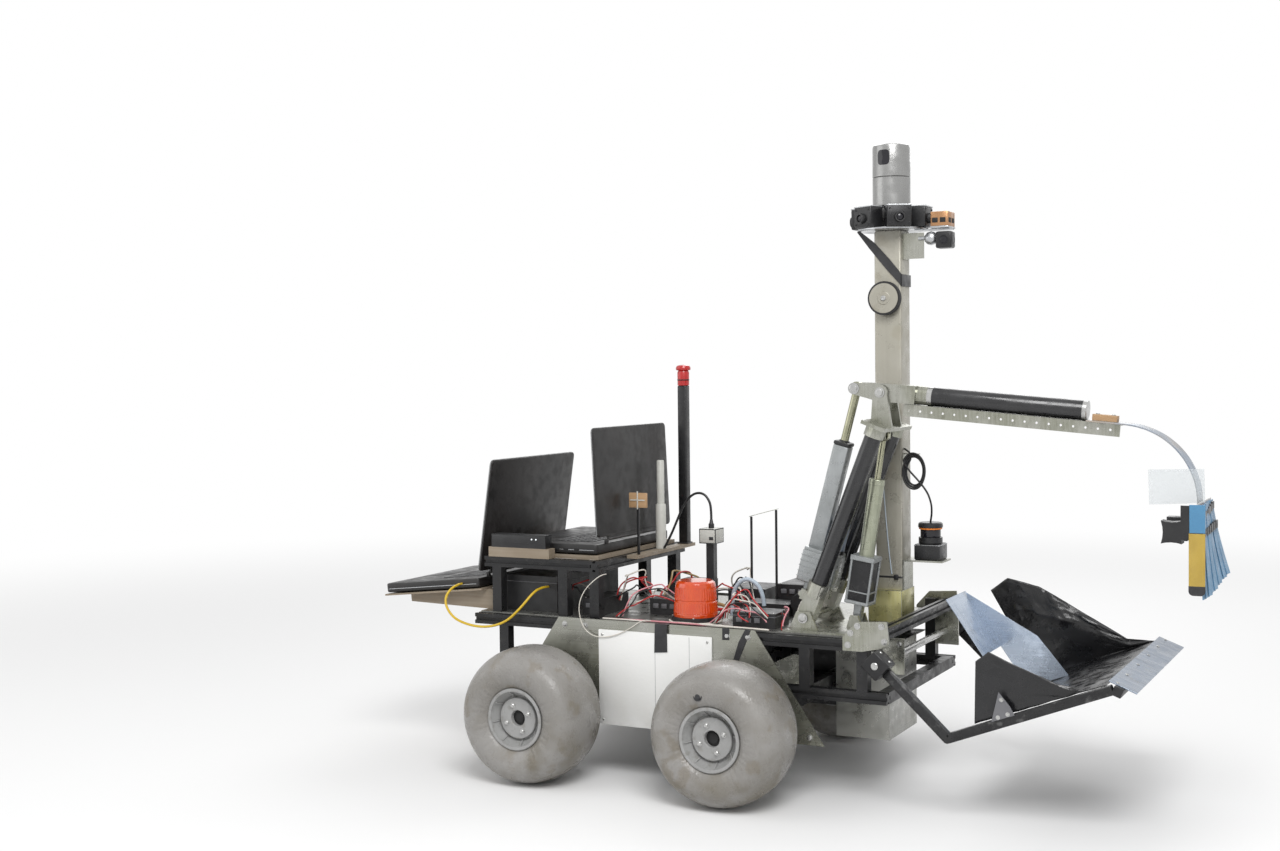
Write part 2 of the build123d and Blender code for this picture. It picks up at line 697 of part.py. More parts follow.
def deck_parts():
    boxes = [block((rear, front), (right, left), (DECK_TOP, DECK_TOP + height))
             for rear, front, right, left, height in DECK_BOXES]
    link_box = Pos(0, 0, DECK_TOP) * (block(*LINK_BOX_STALK) + block(*LINK_BOX))
    packing_top = SHELF_TOP + PACKING_THICKNESS
    network_box = block(NETWORK_BOX, NETWORK_BOX_SIDES, (packing_top, packing_top + NETWORK_BOX_HEIGHT))
    base_radius, base_height = BEACON_BASE
    base = upright_prism(*BEACON, (DECK_TOP, DECK_TOP + base_height), base_radius, BEACON_SIDES)
    lens = tapered(BEACON_LENS, BEACON_SIDES, (*BEACON, DECK_TOP))
    x, y = STOP_POST
    stop_post = block((x - BAR / 2, x + BAR / 2), (y - BAR / 2, y + BAR / 2), (SHELF_TOP, STOP_POST_TOP))
    stem_radius, stem_height = STOP_STEM
    cap_radius, cap_low, cap_high = STOP_CAP
    stop_button = upright_prism(x, y, (STOP_POST_TOP, STOP_POST_TOP + stem_height), stem_radius, STOP_SIDES)
    stop_button += upright_prism(x, y, (STOP_POST_TOP + cap_low, STOP_POST_TOP + cap_high),
                                 cap_radius, STOP_SIDES)
    antenna_steps = [upright_prism(*ANTENNA, (SHELF_TOP + low, SHELF_TOP + high), radius, BORE_SIDES)
                     for radius, low, high in ANTENNA_STEPS]
    antenna = antenna_steps[0] + antenna_steps[1]
    flag = upright_prism(*FLAG, (0, FLAG_BOARD[2][0]), FLAG_STEM_RADIUS, BORE_SIDES) + block(*FLAG_BOARD)
    flag = Pos(0, 0, SHELF_TOP) * flag
    rods = [upright_prism(x, y, (DECK_TOP, DECK_TOP + height), THIN_ROD_RADIUS, THIN_ROD_SIDES)
            for x, y, height in THIN_RODS]
    low, high = WINCH_SIDES
    drum = cross_prism((WINCH_STATION, WINCH_HEIGHT), WINCH_SIDES, WINCH_RADIUS, BORE_SIDES)
    for cheek in ((low, low + WINCH_CHEEK), (high - WINCH_CHEEK, high)):
        drum += block((WINCH_STATION - WINCH_CHEEK_HALF, WINCH_STATION + WINCH_CHEEK_HALF), cheek,
                      (DECK_TOP, WINCH_HEIGHT))
    return {
        "electronics_boxes": boxes + [link_box, network_box],
        "deck_posts": [stop_post, flag, antenna] + rods,
        "deck_fittings": [base, drum],
        "beacon_lens": [lens],
        "stop_button": [stop_button],
    }


# Rear shelf and laptops

SHELF_REAR = -455
SHELF_FRONT = -137
SHELF_RAIL_OFFSETS = inside_rails(10, 40)
SHELF_POST_STATIONS = (-235, -420)
MOUNT_STRIP = (30, -90, 8)
BOARD = (-442, -152)
BOARD_THICKNESS = 9.5
TRAY_HEADING = 180 + 5.9
TRAY_SIDES = inside_rails(2, 46)
TRAY_THICKNESS = 4
TRAY_REAR_MARGIN = 8
TRAY_FRONT_MARGIN = 2
BRACE_OFFSETS = inside_rails(30, 80)
BRACE_WIDTH = 20
BRACE_FOOT = (-470, -440)
BRACE_SETBACK = 60
LAPTOP_BASE = 23
LAPTOP_LID = 8
LAPTOP_FOOT = 3
FOOT_SIZE = 16
FOOT_INSETS = (20, 30, 20)
HINGE_LIFT = 9
HINGE_INSET = 50
HINGE_RADIUS = 4
TONGUE_INSET = 1
EAR_WIDTH = 10
LID_START = 7
LAPTOPS = [
    # name, hinge station, hinge height, sides, base depth, base heading, lid height, lid heading
    ("upper", -157, 542, inside_rails(30, 50), 258, 180, 268, 92.75),
    ("lower", -480, 450, inside_rails(8, 52), 282.3, TRAY_HEADING, 284, 81.5),
]


def slab(start, heading, length, depth, ys):
    """Plate along a heading in the (x, z) plane, with its own depth to the right of that heading."""
    end = shift(start, heading, length)
    return profile_plate([start, end, shift(end, heading - 90, depth), shift(start, heading - 90, depth)], ys)


def laptop(hinge, sides, depth, base_heading, lid_height, lid_heading):
    """Base slab on four feet with two hinge ears, and the lid slab with its hinge barrel."""
    right, left = sides
    down = base_heading + 90
    ear_foot = HINGE_LIFT + FUSE
    bottom = shift(shift(hinge, down, HINGE_LIFT + LAPTOP_BASE), base_heading, HINGE_RADIUS / 2)
    base = slab(bottom, base_heading, depth, LAPTOP_BASE, (right, left))
    front_inset, rear_inset, side_inset = FOOT_INSETS
    for reach in (front_inset, depth - rear_inset - FOOT_SIZE):
        for y in (right + side_inset, left - side_inset - FOOT_SIZE):
            foot = shift(shift(bottom, base_heading, reach), down, LAPTOP_FOOT)
            base += slab(foot, base_heading, FOOT_SIZE, LAPTOP_FOOT + FUSE, (y, y + FOOT_SIZE))
    for ear in ((right + HINGE_INSET - EAR_WIDTH, right + HINGE_INSET - SEAT),
                (left - HINGE_INSET + SEAT, left - HINGE_INSET + EAR_WIDTH)):
        start = shift(shift(hinge, down, ear_foot), base_heading, -HINGE_RADIUS)
        base += slab(start, base_heading, 2 * HINGE_RADIUS, ear_foot + HINGE_RADIUS / 2, ear)
    half = LAPTOP_LID / 2
    lid = slab(shift(shift(hinge, lid_heading, LID_START), lid_heading + 90, half), lid_heading,
               lid_height - LID_START, LAPTOP_LID, (right, left))
    barrel = (right + HINGE_INSET, left - HINGE_INSET)
    lid += cross_pin(hinge, barrel, HINGE_RADIUS)
    tongue_half = HINGE_RADIUS - TONGUE_INSET
    lid += slab(shift(hinge, lid_heading + 90, tongue_half), lid_heading, LID_START + FUSE,
                2 * tongue_half, barrel)
    return base, lid


def shelf_parts():
    middle = SHELF_TOP - BAR / 2
    cross_station = SHELF_FRONT - BAR / 2
    rails, posts = [], []
    for y in SHELF_RAIL_OFFSETS:
        rails.append(slotted_bar((SHELF_REAR, y, middle), (SHELF_FRONT - BAR, y, middle)))
        for x in (*SHELF_POST_STATIONS, cross_station):
            posts.append(plain_bar((x, y, DECK_TOP), (x, y, SHELF_TOP - BAR)))
    cross = slotted_bar((cross_station, SHELF_RAIL_OFFSETS[0] - BAR / 2, middle),
                        (cross_station, CROSS_HALF, middle))
    strip_length, strip_right, strip_thickness = MOUNT_STRIP
    mount_strip = block((SHELF_FRONT, SHELF_FRONT + strip_length), (strip_right, CROSS_HALF),
                        (SHELF_TOP - strip_thickness, SHELF_TOP))
    board = block(BOARD, BOARD_SIDES, (SHELF_TOP, SHELF_TOP + BOARD_THICKNESS))
    rear, front = NETWORK_BOX
    packing = block((rear - PACKING_MARGIN, front + PACKING_MARGIN), NETWORK_BOX_SIDES,
                    (SHELF_TOP, SHELF_TOP + PACKING_THICKNESS))
    nodes = {}
    for name, x, z, sides, depth, base_heading, lid_height, lid_heading in LAPTOPS:
        base, lid = laptop((x, z), sides, depth, base_heading, lid_height, lid_heading)
        nodes[f"laptop_base_{name}"] = [base]
        nodes[f"laptop_lid_{name}"] = [lid]
    _, x, z, _, depth, heading, _, _ = LAPTOPS[1]
    down = heading + 90
    near = shift(shift((x, z), down, HINGE_LIFT + LAPTOP_BASE + LAPTOP_FOOT), heading, -TRAY_REAR_MARGIN)
    far = shift(near, heading, depth + TRAY_REAR_MARGIN + TRAY_FRONT_MARGIN)
    tray = slab(shift(near, down, TRAY_THICKNESS), heading, depth + TRAY_REAR_MARGIN + TRAY_FRONT_MARGIN,
                TRAY_THICKNESS, TRAY_SIDES)
    foot = shift(near, down, TRAY_THICKNESS)
    brace_end = shift(shift(far, heading + 180, BRACE_SETBACK), down, TRAY_THICKNESS)
    rear, front = BRACE_FOOT
    for y in BRACE_OFFSETS:
        tray += profile_plate([(rear, DECK_TOP), (front, DECK_TOP), (front, foot[1] - TRAY_THICKNESS / 2),
                               foot, brace_end, shift(brace_end, down, BRACE_WIDTH)], (y, y + BRACE_WIDTH))
    nodes["shelf_rails"] = rails + [cross] + posts
    nodes["shelf_boards"] = [mount_strip, board, packing, tray]
    return nodes


# Mast

def mast_parts():
    half = MAST_SIZE / 2
    inside = half - MAST_WALL
    cover = half + SHROUD_WALL
    x, y = MAST_STATION, MAST_OFFSET
    xs, ys = (x - half, x + half), (y - half, y + half)
    tube = block(xs, ys, (DECK_TOP, MAST_TOP))
    tube -= block((x - inside, x + inside), (y - inside, y + inside), (DECK_TOP, MAST_TOP))
    shroud = block((x - cover, DECK_FRONT), (y - cover, y + cover), (DECK_TOP, DECK_TOP + SHROUD_HEIGHT))
    shroud -= block(xs, ys, (DECK_TOP, DECK_TOP + SHROUD_HEIGHT))
    pulley = None
    hub_radius, hub_length = PULLEY_HUB
    reach = 0
    for radius, thickness in ((hub_radius, PULLEY_CHEEK), (PULLEY_RADIUS, PULLEY_CHEEK),
                              (PULLEY_GROOVE_RADIUS, PULLEY_GROOVE), (PULLEY_RADIUS, PULLEY_CHEEK),
                              (hub_radius, hub_length - 3 * PULLEY_CHEEK - PULLEY_GROOVE)):
        step = cross_prism((x - PULLEY_SETBACK, PULLEY_HEIGHT), (ys[0] - reach - thickness, ys[0] - reach),
                           radius, PULLEY_SIDES)
        pulley = step if pulley is None else pulley + step
        reach += thickness
    deck = MAST_TOP + PLATFORM_THICKNESS
    platform = upright_prism(x, y, (MAST_TOP, deck), PLATFORM_RADIUS, PLATFORM_SIDES)
    cameras = []
    lens_xs, lens_height, lens_radius = CAMERA_LENS
    for heading in CAMERA_HEADINGS:
        body = block(*CAMERA_CASE) + prism((lens_xs[0], 0, lens_height), (lens_xs[1], 0, lens_height),
                                           lens_radius, LENS_SIDES)
        cameras.append(Pos(x, y, deck) * (Rot(0, 0, heading) * body))
    side_camera = Pos(x, y, MAST_TOP) * (block(*SIDE_CAMERA) + block(*SIDE_CAMERA_ARM))
    sheet = half + HEAD_ANGLE_SHEET
    angle_end = half + HEAD_ANGLE_REACH
    head_angle = block((half, sheet), (-HEAD_ANGLE_HALF, HEAD_ANGLE_HALF), HEAD_ANGLE_HEIGHTS)
    head_angle += block((half, angle_end), (-HEAD_ANGLE_HALF, HEAD_ANGLE_SHEET - HEAD_ANGLE_HALF),
                        HEAD_ANGLE_HEIGHTS)
    stem_y, stem_z, stem_radius = BALL_STEM
    ball_camera = block([half + reach for reach in BALL_CAMERA[0]], *BALL_CAMERA[1:])
    ball_camera += prism((angle_end, stem_y, stem_z), (angle_end + BALL_STEM_REACH, stem_y, stem_z),
                         stem_radius, LENS_SIDES)
    top = Pos(x, y, MAST_TOP)
    collar = deck + LIDAR_STAND_HEIGHT
    seam = collar + LIDAR_BASE_HEIGHT
    base = upright_prism(x, y, (deck, collar), LIDAR_STAND_RADIUS, TUBE_SIDES)
    base += upright_prism(x, y, (collar, seam), LIDAR_RADIUS, TUBE_SIDES)
    base += upright_prism(x, y, (seam, seam + LIDAR_SPINDLE_LENGTH), LIDAR_SPINDLE_RADIUS, PIN_SIDES)
    low, high = seam + SEAT, seam + SEAT + LIDAR_HEAD_HEIGHT
    head = upright_prism(x, y, (low, high), LIDAR_RADIUS, TUBE_SIDES)
    head -= upright_prism(x, y, (low, seam + LIDAR_SPINDLE_LENGTH + SEAT),
                          bore_for(LIDAR_SPINDLE_RADIUS), BORE_SIDES)
    shelf_low = SCANNER_SHELF - SCANNER_SHELF_THICKNESS
    shelf = block((xs[1], xs[1] + SCANNER_SHELF_THICKNESS), ys,
                  (SCANNER_SHELF - SCANNER_SHELF_DEPTH, SCANNER_SHELF))
    shelf += block((xs[1], xs[1] + SCANNER_SHELF_LENGTH),
                   (y - SCANNER_HALF, y + SCANNER_HALF + SCANNER_OFFSET), (shelf_low, SCANNER_SHELF))
    scanner_x, scanner_y = xs[1] + SCANNER_REACH, y + SCANNER_OFFSET
    foot_top = SCANNER_SHELF + SCANNER_FOOT
    scanner = block((scanner_x - SCANNER_HALF, scanner_x + SCANNER_HALF),
                    (scanner_y - SCANNER_HALF, scanner_y + SCANNER_HALF), (SCANNER_SHELF, foot_top))
    for low_radius, high_radius, low, high in SCANNER_STEPS:
        scanner += tapered([(low_radius, low), (high_radius, high)], SCANNER_SIDES,
                           (scanner_x, scanner_y, foot_top))
    return {
        "mast_tube": [tube],
        "mast_brackets": [shroud, shelf, top * head_angle],
        "pulley": [pulley],
        "sensor_platform": [platform],
        "head_cameras": cameras + [side_camera, top * ball_camera],
        "lidar_base": [base],
        "lidar_head": [head],
        "front_scanner": [scanner],
    }


# Arm

TUBE_RUN = (TUBE_TOP[0] - SHOULDER[0], TUBE_TOP[1] - SHOULDER[1])
TUBE_HEADING = degrees(atan2(TUBE_RUN[1], TUBE_RUN[0]))
TUBE_OFFSETS = (ARM_PLANE - ARM_TUBE_SPACING / 2, ARM_PLANE + ARM_TUBE_SPACING / 2)


def arm_parts():
    x, z = SHOULDER
    far, near = TUBE_OFFSETS[1] + KNUCKLE_WIDTH / 2, TUBE_OFFSETS[0] - KNUCKLE_WIDTH / 2
    plate_top = DECK_TOP + MOUNT_PLATE_THICKNESS
    cheek_end = CHEEK_GAP + CHEEK_THICKNESS
    base = block(MOUNT_PLATE, (near - MOUNT_PLATE_MARGIN, far + cheek_end), (DECK_TOP, plate_top))
    for cheek in ((near - cheek_end, near - CHEEK_GAP), (far + CHEEK_GAP, far + cheek_end)):
        base += profile_plate([(x - CHEEK_FOOT, plate_top - FUSE), (x + CHEEK_FOOT, plate_top - FUSE),
                               (x + CHEEK_HEAD, z + CHEEK_RISE), (x - CHEEK_HEAD, z + CHEEK_RISE)], cheek)
    pin_end = cheek_end + SHOULDER_PIN_END
    base += cross_pin(SHOULDER, (near - pin_end, far + pin_end), SHOULDER_PIN_RADIUS)
    x, z = SHOULDER_ACTUATOR_PIN
    clevis_end = CLEVIS_GAP + CLEVIS_THICKNESS
    for clevis in pair_about_arm(CLEVIS_GAP, clevis_end):
        base += profile_plate([(x - CLEVIS_FOOT, plate_top - FUSE), (x + CLEVIS_FOOT, plate_top - FUSE),
                               (x + CLEVIS_RISE, z + CLEVIS_RISE), (x - CLEVIS_RISE, z + CLEVIS_RISE)],
                              clevis)
    base += cross_pin(SHOULDER_ACTUATOR_PIN, across_arm(clevis_end), SMALL_PIN_RADIUS)

    knuckles, tubes = None, []
    ferrule_start, ferrule_end = FERRULE_REACH
    for y in TUBE_OFFSETS:
        sides = (y - KNUCKLE_WIDTH / 2, y + KNUCKLE_WIDTH / 2)
        knuckle = cross_prism(SHOULDER, sides, KNUCKLE_RADIUS, EYE_SIDES)
        knuckle += beam(spot(SHOULDER, y), spot(shift(SHOULDER, TUBE_HEADING, KNUCKLE_LENGTH), y),
                        2 * KNUCKLE_RADIUS, KNUCKLE_WIDTH)
        knuckle += prism(spot(shift(SHOULDER, TUBE_HEADING, ferrule_start), y),
                         spot(shift(SHOULDER, TUBE_HEADING, ferrule_end), y), FERRULE_RADIUS, EYE_SIDES)
        knuckle -= cross_prism(SHOULDER, sides, bore_for(SHOULDER_PIN_RADIUS), BORE_SIDES)
        inner = sides[1] if y < ARM_PLANE else sides[0] - LINK_WIDTH
        middle = inner + LINK_WIDTH / 2
        knuckle += beam(spot(ELBOW_ACTUATOR_PIN, middle),
                        spot(shift(SHOULDER, TUBE_HEADING, LINK_REACH), middle), LINK_DEPTH, LINK_WIDTH)
        knuckles = knuckle if knuckles is None else knuckles + knuckle
        tubes.append(prism(spot(shift(SHOULDER, TUBE_HEADING, ferrule_end), y), spot(TUBE_TOP, y),
                           ARM_TUBE_RADIUS, TUBE_SIDES))
    pin_reach = ARM_TUBE_SPACING / 2 - KNUCKLE_WIDTH / 2
    knuckles += cross_pin(ELBOW_ACTUATOR_PIN, across_arm(pin_reach), ARM_PIN_RADIUS)

    top = shift(TUBE_TOP, TUBE_HEADING, TOP_BLOCK_REACH)
    depth, width, thickness = TOP_BLOCK
    elbow = beam(spot(shift(top, TUBE_HEADING, -thickness / 2), ARM_PLANE),
                 spot(shift(top, TUBE_HEADING, thickness / 2), ARM_PLANE), depth, width)
    for y in TUBE_OFFSETS:
        elbow += prism(spot(TUBE_TOP, y), spot(shift(TUBE_TOP, TUBE_HEADING, TOP_FERRULE_LENGTH), y),
                       TOP_FERRULE_RADIUS, EYE_SIDES)
    foot = depth / 2 - ELBOW_PLATE_INSET
    plate_end = ELBOW_PLATE_GAP + ELBOW_PLATE_THICKNESS
    outline = [shift(top, TUBE_HEADING + 90, foot), *round_end(ELBOW, TUBE_HEADING, ELBOW_PLATE_RADIUS),
               shift(top, TUBE_HEADING - 90, foot)]
    for plate in pair_about_arm(ELBOW_PLATE_GAP, plate_end):
        hole = cross_prism(ELBOW, plate, bore_for(ELBOW_PIN_RADIUS), BORE_SIDES)
        elbow += profile_plate(outline, plate) - hole
    x, z = SHOULDER_ACTUATOR_EYE
    eye_end = EYE_PLATE_GAP + EYE_PLATE_THICKNESS
    eye_half = ARM_PIN_RADIUS + EYE_PLATE_LAND
    for plate in pair_about_arm(EYE_PLATE_GAP, eye_end):
        elbow += profile_plate([(x - eye_half, z - eye_half), (x + eye_half, z - eye_half),
                                (x + eye_half + EYE_FIT, z + TOP_FERRULE_LENGTH),
                                (x - EYE_FIT, z + TOP_FERRULE_LENGTH)], plate)
    elbow += cross_pin(SHOULDER_ACTUATOR_EYE, across_arm(eye_end), ARM_PIN_RADIUS)
    return {
        "arm_mount": [base],
        "arm_knuckles": [knuckles],
        "arm_tubes": tubes,
        "elbow_bracket": [elbow],
    }


def boom_at(distance, height=0.0):
    """(x, z) point along the boom's own line from the elbow pin."""
    return shift(shift(ELBOW, BOOM_SLOPE, distance), BOOM_SLOPE + 90, height)


def boom_block(start, end, low, high, ys):
    """Plate whose edges lie along and across the boom."""
    corners = [boom_at(start, low), boom_at(end, low), boom_at(end, high), boom_at(start, high)]
    return profile_plate(corners, ys)


def boom_parts():
    root_sides = across_arm(ROOT_HALF_WIDTH)
    slot_sides = across_arm(ROOT_SLOT_HALF_WIDTH)
    depth = ROOT_HALF_DEPTH
    lever = (LEVER_PIN[0] - ELBOW[0], LEVER_PIN[1] - ELBOW[1])
    lever_heading = degrees(atan2(lever[1], lever[0]))
    root = profile_plate([*round_end(LEVER_PIN, lever_heading, LEVER_NOSE), boom_at(0, depth),
                          boom_at(BOOM_ROOT_END, depth), boom_at(BOOM_ROOT_END, -depth),
                          boom_at(LEVER_ROOT, -depth)], root_sides)
    root -= boom_block(-hypot(*lever) - 2 * LEVER_NOSE, LEVER_SLOT_END, -2 * depth, 2 * depth, slot_sides)
    root += cross_pin(LEVER_PIN, root_sides, ARM_PIN_RADIUS)
    root += cross_pin(ELBOW, across_arm(ELBOW_PLATE_GAP + ELBOW_PLATE_THICKNESS + EYE_FIT), ELBOW_PIN_RADIUS)
    root += prism(spot(boom_at(BOOM_ROOT_END), ARM_PLANE), spot(boom_at(BOOM_FERRULE_END), ARM_PLANE),
                  BOOM_RADIUS - FERRULE_STEP, TUBE_SIDES)
    tube = prism(spot(boom_at(BOOM_FERRULE_END), ARM_PLANE), spot(boom_at(BOOM_TUBE_END), ARM_PLANE),
                 BOOM_RADIUS, TUBE_SIDES)

    low = -BOOM_RADIUS - SEAT
    web = (ARM_PLANE + ANGLE_OFFSET, ARM_PLANE + ANGLE_OFFSET + ANGLE_SHEET)
    angle = boom_block(ANGLE_START, ANGLE_END, low - ANGLE_DEPTH, low, web)
    for index in range(ANGLE_HOLES):
        hole = boom_at(ANGLE_START + ANGLE_PITCH * (index + 0.5), low - ANGLE_DEPTH / 2)
        angle -= cross_prism(hole, web, ANGLE_HOLE_RADIUS, ANGLE_HOLE_SIDES)
    angle += boom_block(ANGLE_START, ANGLE_END, low - ANGLE_SHEET, low, (web[0], ARM_PLANE + ANGLE_FLANGE))

    bend_centre = boom_at(STRAP_BEND_START, low - STRAP_BEND)
    turns = [(90 + BOOM_SLOPE) * (1 - step / STRAP_BEND_STEPS) for step in range(STRAP_BEND_STEPS + 1)]
    outer = [shift(bend_centre, turn, STRAP_BEND + STRAP_THICKNESS) for turn in turns]
    inner = [shift(bend_centre, turn, STRAP_BEND) for turn in turns]
    strap = profile_plate([boom_at(STRAP_START, low), boom_at(STRAP_START, low + STRAP_THICKNESS), *outer,
                           shift(outer[-1], -90, STRAP_DROP), shift(inner[-1], -90, STRAP_DROP),
                           *inner[::-1]], across_arm(STRAP_WIDTH / 2))
    spacer_low = low + STRAP_THICKNESS
    spacer = boom_block(*SPACER, spacer_low, spacer_low + SPACER_THICKNESS, across_arm(SPACER_HALF_WIDTH))

    face = outer[-1][0]
    top = outer[-1][1] - STRAP_DROP + HEADER_LAP
    end_plate = (TOOL_NEAR, TOOL_NEAR + HEADER_END_PLATE)
    header = block((face, face + HEADER_THICKNESS), (TOOL_NEAR, TOOL_FAR), (top - HEADER_HEIGHT, top))
    header += block((face - HEADER_END_REACH, face + FUSE), end_plate,
                    (top - HEADER_HEIGHT - HEADER_END_DROP, top))
    magnet_sides = (TOOL_NEAR, TOOL_NEAR + MAGNET_WIDTH)
    magnet_rear, magnet_front = [face + reach for reach in MAGNET_REACH]
    magnet_low, magnet_high = [top + drop for drop in MAGNET_DROP]
    magnet = block((magnet_rear, magnet_front), magnet_sides, (magnet_low, magnet_high))
    middle = ((magnet_rear + magnet_front) / 2, (magnet_low + magnet_high) / 2)
    bite = MAGNET_HOLLOW_RADIUS - MAGNET_HOLLOW_DEPTH
    for hollow in ((magnet_rear - bite, middle[1]), (middle[0], magnet_low - bite),
                   (middle[0], magnet_high + bite)):
        magnet -= cross_prism(hollow, magnet_sides, MAGNET_HOLLOW_RADIUS, MAGNET_HOLLOW_SIDES)
    header += magnet
    strips = []
    pitch = (TOOL_FAR - TOOL_NEAR) / STRIP_COUNT
    x = face + HEADER_THICKNESS
    for index in range(STRIP_COUNT):
        right = TOOL_NEAR + index * pitch
        splay = STRIP_SPLAY[0] + STRIP_SPLAY[1] * index
        bottom = STRIP_BOTTOM[0] + STRIP_BOTTOM[1] * index
        outline = [(x, top), (x + STRIP_THICKNESS, top), (x + STRIP_THICKNESS + splay, bottom),
                   (x + splay, bottom)]
        strips.append(profile_plate(outline, (right, right + pitch - STRIP_GAP)))
    paddle = block([face + reach for reach in PADDLE_REACH], (TOOL_NEAR - PADDLE_THICKNESS, TOOL_NEAR),
                   PADDLE_HEIGHTS)
    return {
        "boom_root": [root],
        "boom_tube": [tube],
        "boom_angle": [angle, spacer],
        "boom_strap": [strap],
        "tool_header": [header],
        "tool_strips": strips + [paddle],
    }


def eye(reach, half_width, radius):
    """Rod eye with play round its pin, at a distance along the rod."""
    ring = prism((0, -half_width, reach), (0, half_width, reach), radius, EYE_SIDES)
    return ring - prism((0, -half_width, reach), (0, half_width, reach),
                        bore_for(ARM_PIN_RADIUS + EYE_FIT), BORE_SIDES)


def actuator_parts():
    start = spot(ELBOW_ACTUATOR_PIN, ARM_PLANE)
    place = along(start, spot(LEVER_PIN, ARM_PLANE)).location
    length = hypot(LEVER_PIN[0] - ELBOW_ACTUATOR_PIN[0], LEVER_PIN[1] - ELBOW_ACTUATOR_PIN[1])
    pin_sides = ELBOW_EYE_BLOCK[1]
    cylinder_end = ELBOW_CYLINDER[2][1]
    body = block(*ELBOW_MOTOR_CASE) + block(*ELBOW_EYE_BLOCK) + block(*ELBOW_CYLINDER)
    body -= prism((0, pin_sides[0], 0), (0, pin_sides[1], 0), bore_for(ARM_PIN_RADIUS), BORE_SIDES)
    body += prism((ELBOW_MOTOR_OFFSET, 0, ELBOW_CYLINDER[2][0]), (ELBOW_MOTOR_OFFSET, 0, ELBOW_MOTOR_END),
                  ELBOW_MOTOR_RADIUS, TUBE_SIDES)
    body -= prism((0, 0, ELBOW_BORE[0]), (0, 0, ELBOW_BORE[1]), ELBOW_BORE_RADIUS, BORE_SIDES)
    body -= prism((0, 0, ELBOW_BORE[1]), (0, 0, cylinder_end), ELBOW_ROD_RADIUS + GLAND_FIT, EYE_SIDES)
    piston = prism((0, 0, ELBOW_ROD_START), (0, 0, length - ELBOW_EYE_RADIUS + EYE_NECK),
                   ELBOW_ROD_RADIUS, EYE_SIDES)
    piston += eye(length, ELBOW_EYE_WIDTH, ELBOW_EYE_RADIUS)
    nodes = {
        "elbow_actuator": [place * body],
        "elbow_piston": [place * piston],
    }
    start = spot(SHOULDER_ACTUATOR_PIN, ARM_PLANE)
    place = along(start, spot(SHOULDER_ACTUATOR_EYE, ARM_PLANE)).location
    length = hypot(SHOULDER_ACTUATOR_EYE[0] - SHOULDER_ACTUATOR_PIN[0],
                   SHOULDER_ACTUATOR_EYE[1] - SHOULDER_ACTUATOR_PIN[1])
    pin_sides = SHOULDER_EYE_BLOCK[1]
    body = block(*SHOULDER_MOTOR_CASE) + block(*SHOULDER_EYE_BLOCK)
    body -= prism((0, pin_sides[0], 0), (0, pin_sides[1], 0), bore_for(SMALL_PIN_RADIUS), BORE_SIDES)
    body += prism((0, 0, SHOULDER_MOTOR_CASE[2][1]), (0, 0, SHOULDER_CYLINDER_END),
                  SHOULDER_CYLINDER_RADIUS, TUBE_SIDES)
    body -= prism((0, 0, SHOULDER_BORE[0]), (0, 0, SHOULDER_BORE[1]), SHOULDER_BORE_RADIUS, BORE_SIDES)
    body -= prism((0, 0, SHOULDER_BORE[1]), (0, 0, SHOULDER_CYLINDER_END),
                  SHOULDER_ROD_RADIUS + GLAND_FIT, EYE_SIDES)
    piston = prism((0, 0, SHOULDER_ROD_START), (0, 0, length - SHOULDER_EYE_RADIUS + EYE_NECK),
                   SHOULDER_ROD_RADIUS, EYE_SIDES)
    piston += eye(length, SHOULDER_EYE_WIDTH, SHOULDER_EYE_RADIUS)
    nodes["shoulder_actuator"] = [place * body]
    nodes["shoulder_piston"] = [place * piston]
    return nodes


# Scoop

FLOOR_RISE = (SCOOP_TIP[1] - SCOOP_CORNER[1]) / (SCOOP_TIP[0] - SCOOP_CORNER[0])
TUBE_TOP_LIFT = ARM_TUBE / 2 * hypot(1, FLOOR_RISE)


def tube_top(station):
    """Height of the lower scoop tube's upper face."""
    return SCOOP_CORNER[1] + (station - SCOOP_CORNER[0]) * FLOOR_RISE + TUBE_TOP_LIFT


